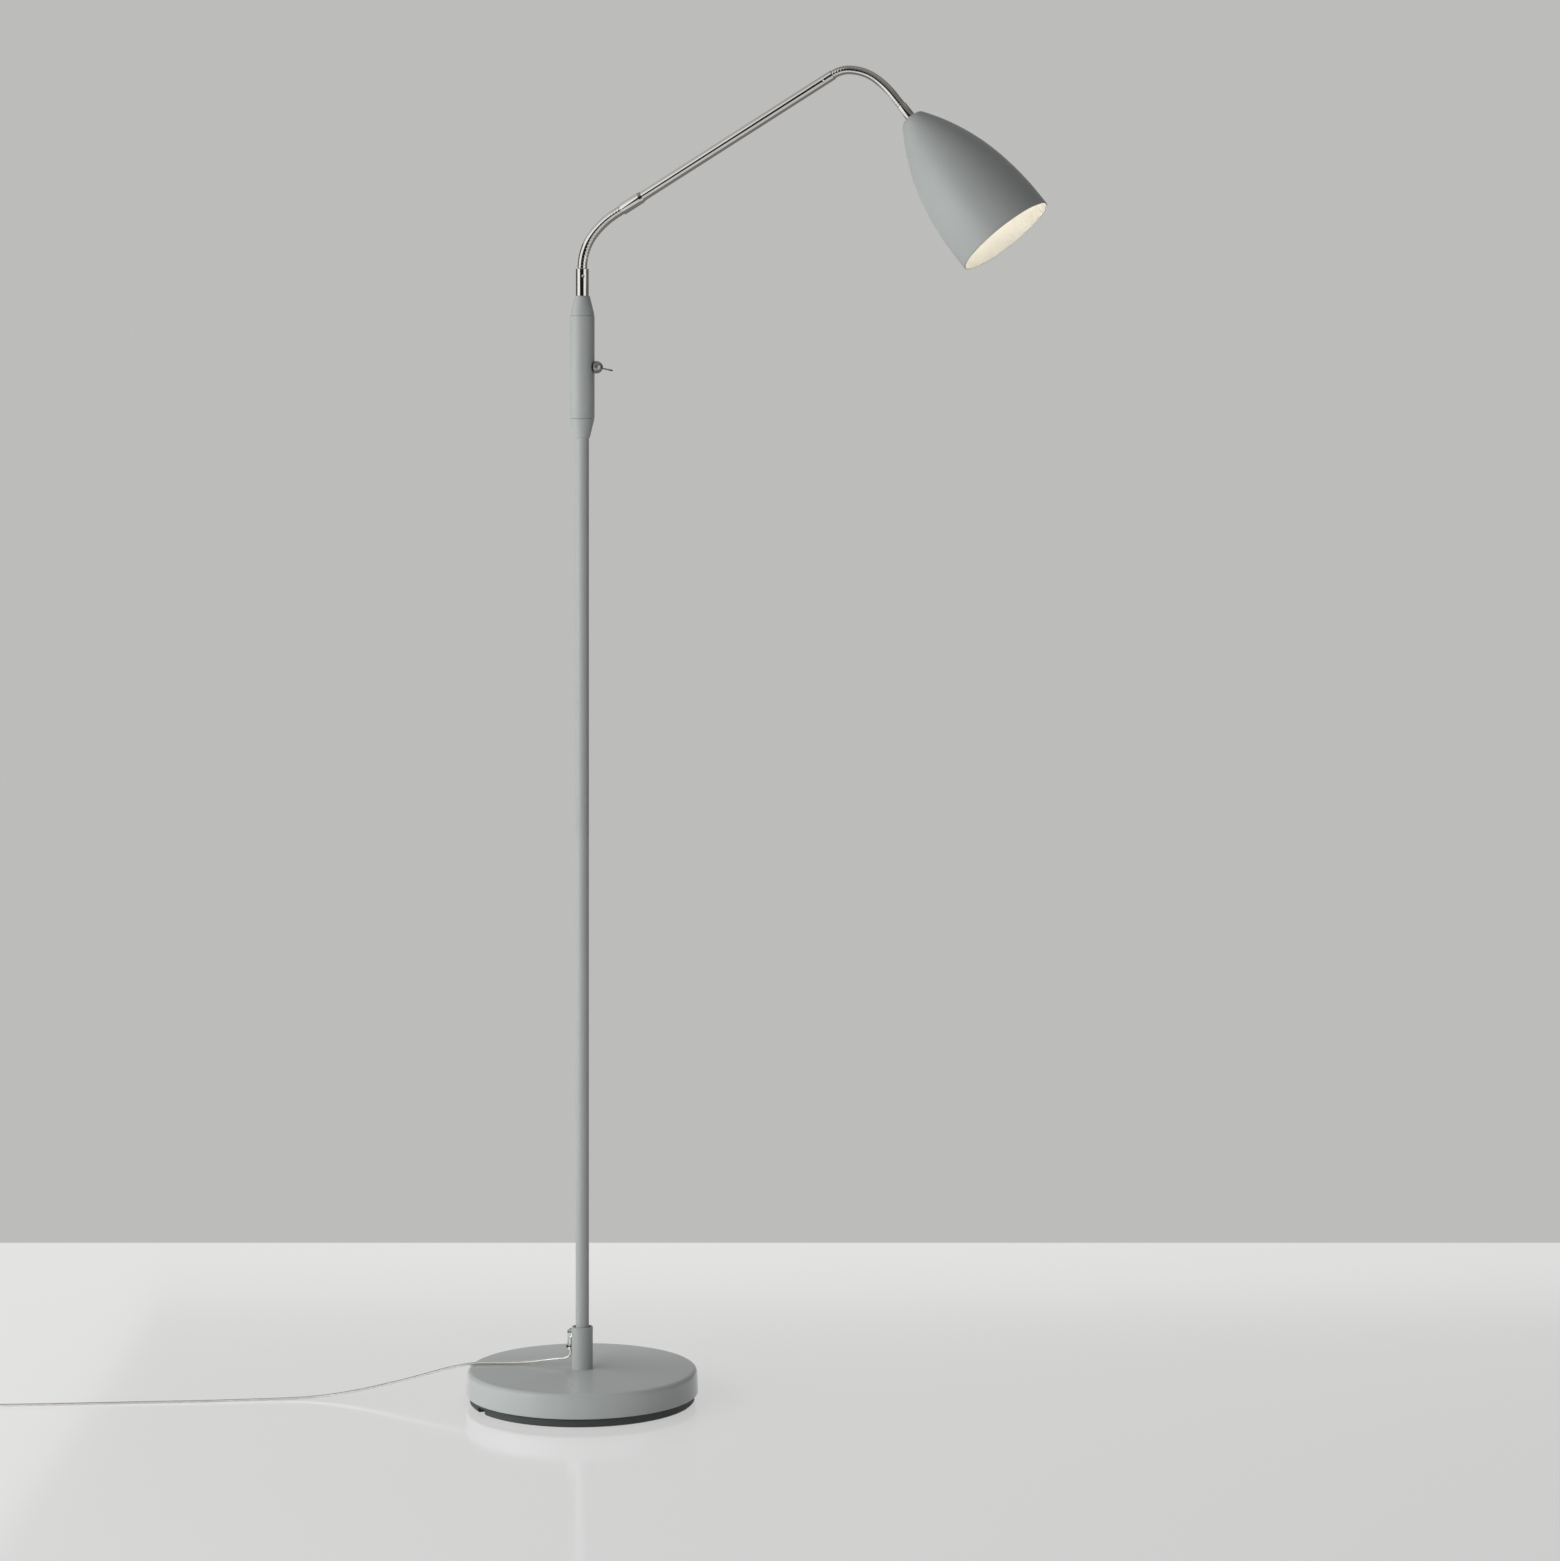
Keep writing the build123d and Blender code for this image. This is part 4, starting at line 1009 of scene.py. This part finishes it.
def standing_card(name, tone, azimuths, heights, distance, steps=8):
    """A curved card that stands round part of the studio."""
    points = []
    for k in range(steps + 1):
        azimuth = azimuths[0] + (azimuths[1] - azimuths[0]) * k / steps
        points += [studio_point(azimuth, distance, height) for height in heights]
    make_card(name, tone, points, [(2 * k, 2 * k + 2, 2 * k + 3, 2 * k + 1) for k in range(steps)])


def level_card(name, tone, sides, depths, height):
    """A flat card at a height."""
    make_card(name, tone, level_corners(sides, depths, height), [(0, 1, 2, 3)])


def make_world():
    """Wall grey where it is seen, and an even soft light on the lamp."""
    world = bpy.data.worlds.new("studio")
    bpy.context.scene.world = world
    world.use_nodes = True
    tree = world.node_tree
    tree.nodes.clear()
    out = tree.nodes.new("ShaderNodeOutputWorld")
    seen = tree.nodes.new("ShaderNodeBackground")
    seen.inputs["Color"].default_value = (*wall_tone, 1)
    light = tree.nodes.new("ShaderNodeBackground")
    light.inputs["Strength"].default_value = world_level
    light.inputs["Color"].default_value = (1, 1, 1, 1)
    mix = tree.nodes.new("ShaderNodeMixShader")
    tree.links.new(seen_rays(tree), mix.inputs["Fac"])
    tree.links.new(light.outputs[0], mix.inputs[1])
    tree.links.new(seen.outputs[0], mix.inputs[2])
    tree.links.new(mix.outputs[0], out.inputs["Surface"])


def area_light(name, azimuth, distance, height, size, level, aim=0.8):
    """A soft rectangular lamp of a given brightness, aimed at a height on the pole. Reflections show the
    cards in its place."""
    data = bpy.data.lights.new(name, "AREA")
    data.shape = "RECTANGLE"
    data.size, data.size_y = size
    data.energy = level * math.pi * size[0] * size[1]
    lamp = bpy.data.objects.new(name, data)
    lamp.location = studio_point(azimuth, distance, height)
    lamp.rotation_euler = (Vector((0, 0, aim)) - lamp.location).to_track_quat("-Z", "Y").to_euler()
    lamp.visible_glossy = False
    bpy.context.scene.collection.objects.link(lamp)


make_floor()
make_world()
area_light("key", -44, 2.0, 0.8, (1.8, 1.2), 3.3, 0.1)
area_light("side", -90, 2.8, 1.3, (2.4, 2.1), 2.2)
area_light("back", 170, 1.15, 0.85, (1.6, 0.6), 1.7, 0.0)
standing_card("card_key", 1.1, (-89, -42), (-0.5, 3.6), 6.0)
standing_card("card_key_top", 0.75, (-89, -42), (3.6, 5.9), 6.0)
standing_card("card_key_high", 0.45, (-89, -42), (5.9, 9.2), 6.0)
standing_card("card_key_low", 0.95, (-100, -50), (0.02, 0.6), 2.6)
standing_card("card_fill", 1.0, (26, 67), (0.3, 2.3), 3.0)
standing_card("card_front", 0.015, (-38, 26), (0.02, 2.5), 3.2)
standing_card("card_front_top", 0.17, (-42, 67), (2.5, 9.2), 6.2)
standing_card("card_left", 0.1, (-150, -89), (0.0, 3.2), 6.3)
standing_card("card_right", 0.13, (67, 150), (0.0, 9.2), 6.0)
level_card("card_above", 0.25, (-6.4, 6.4), (-6.4, 6.4), 9.0)
level_card("card_below", 0.2, (-0.85, 2.0), (-3.0, 0.36), 0.55)

bpy.context.scene.view_settings.view_transform = "Standard"
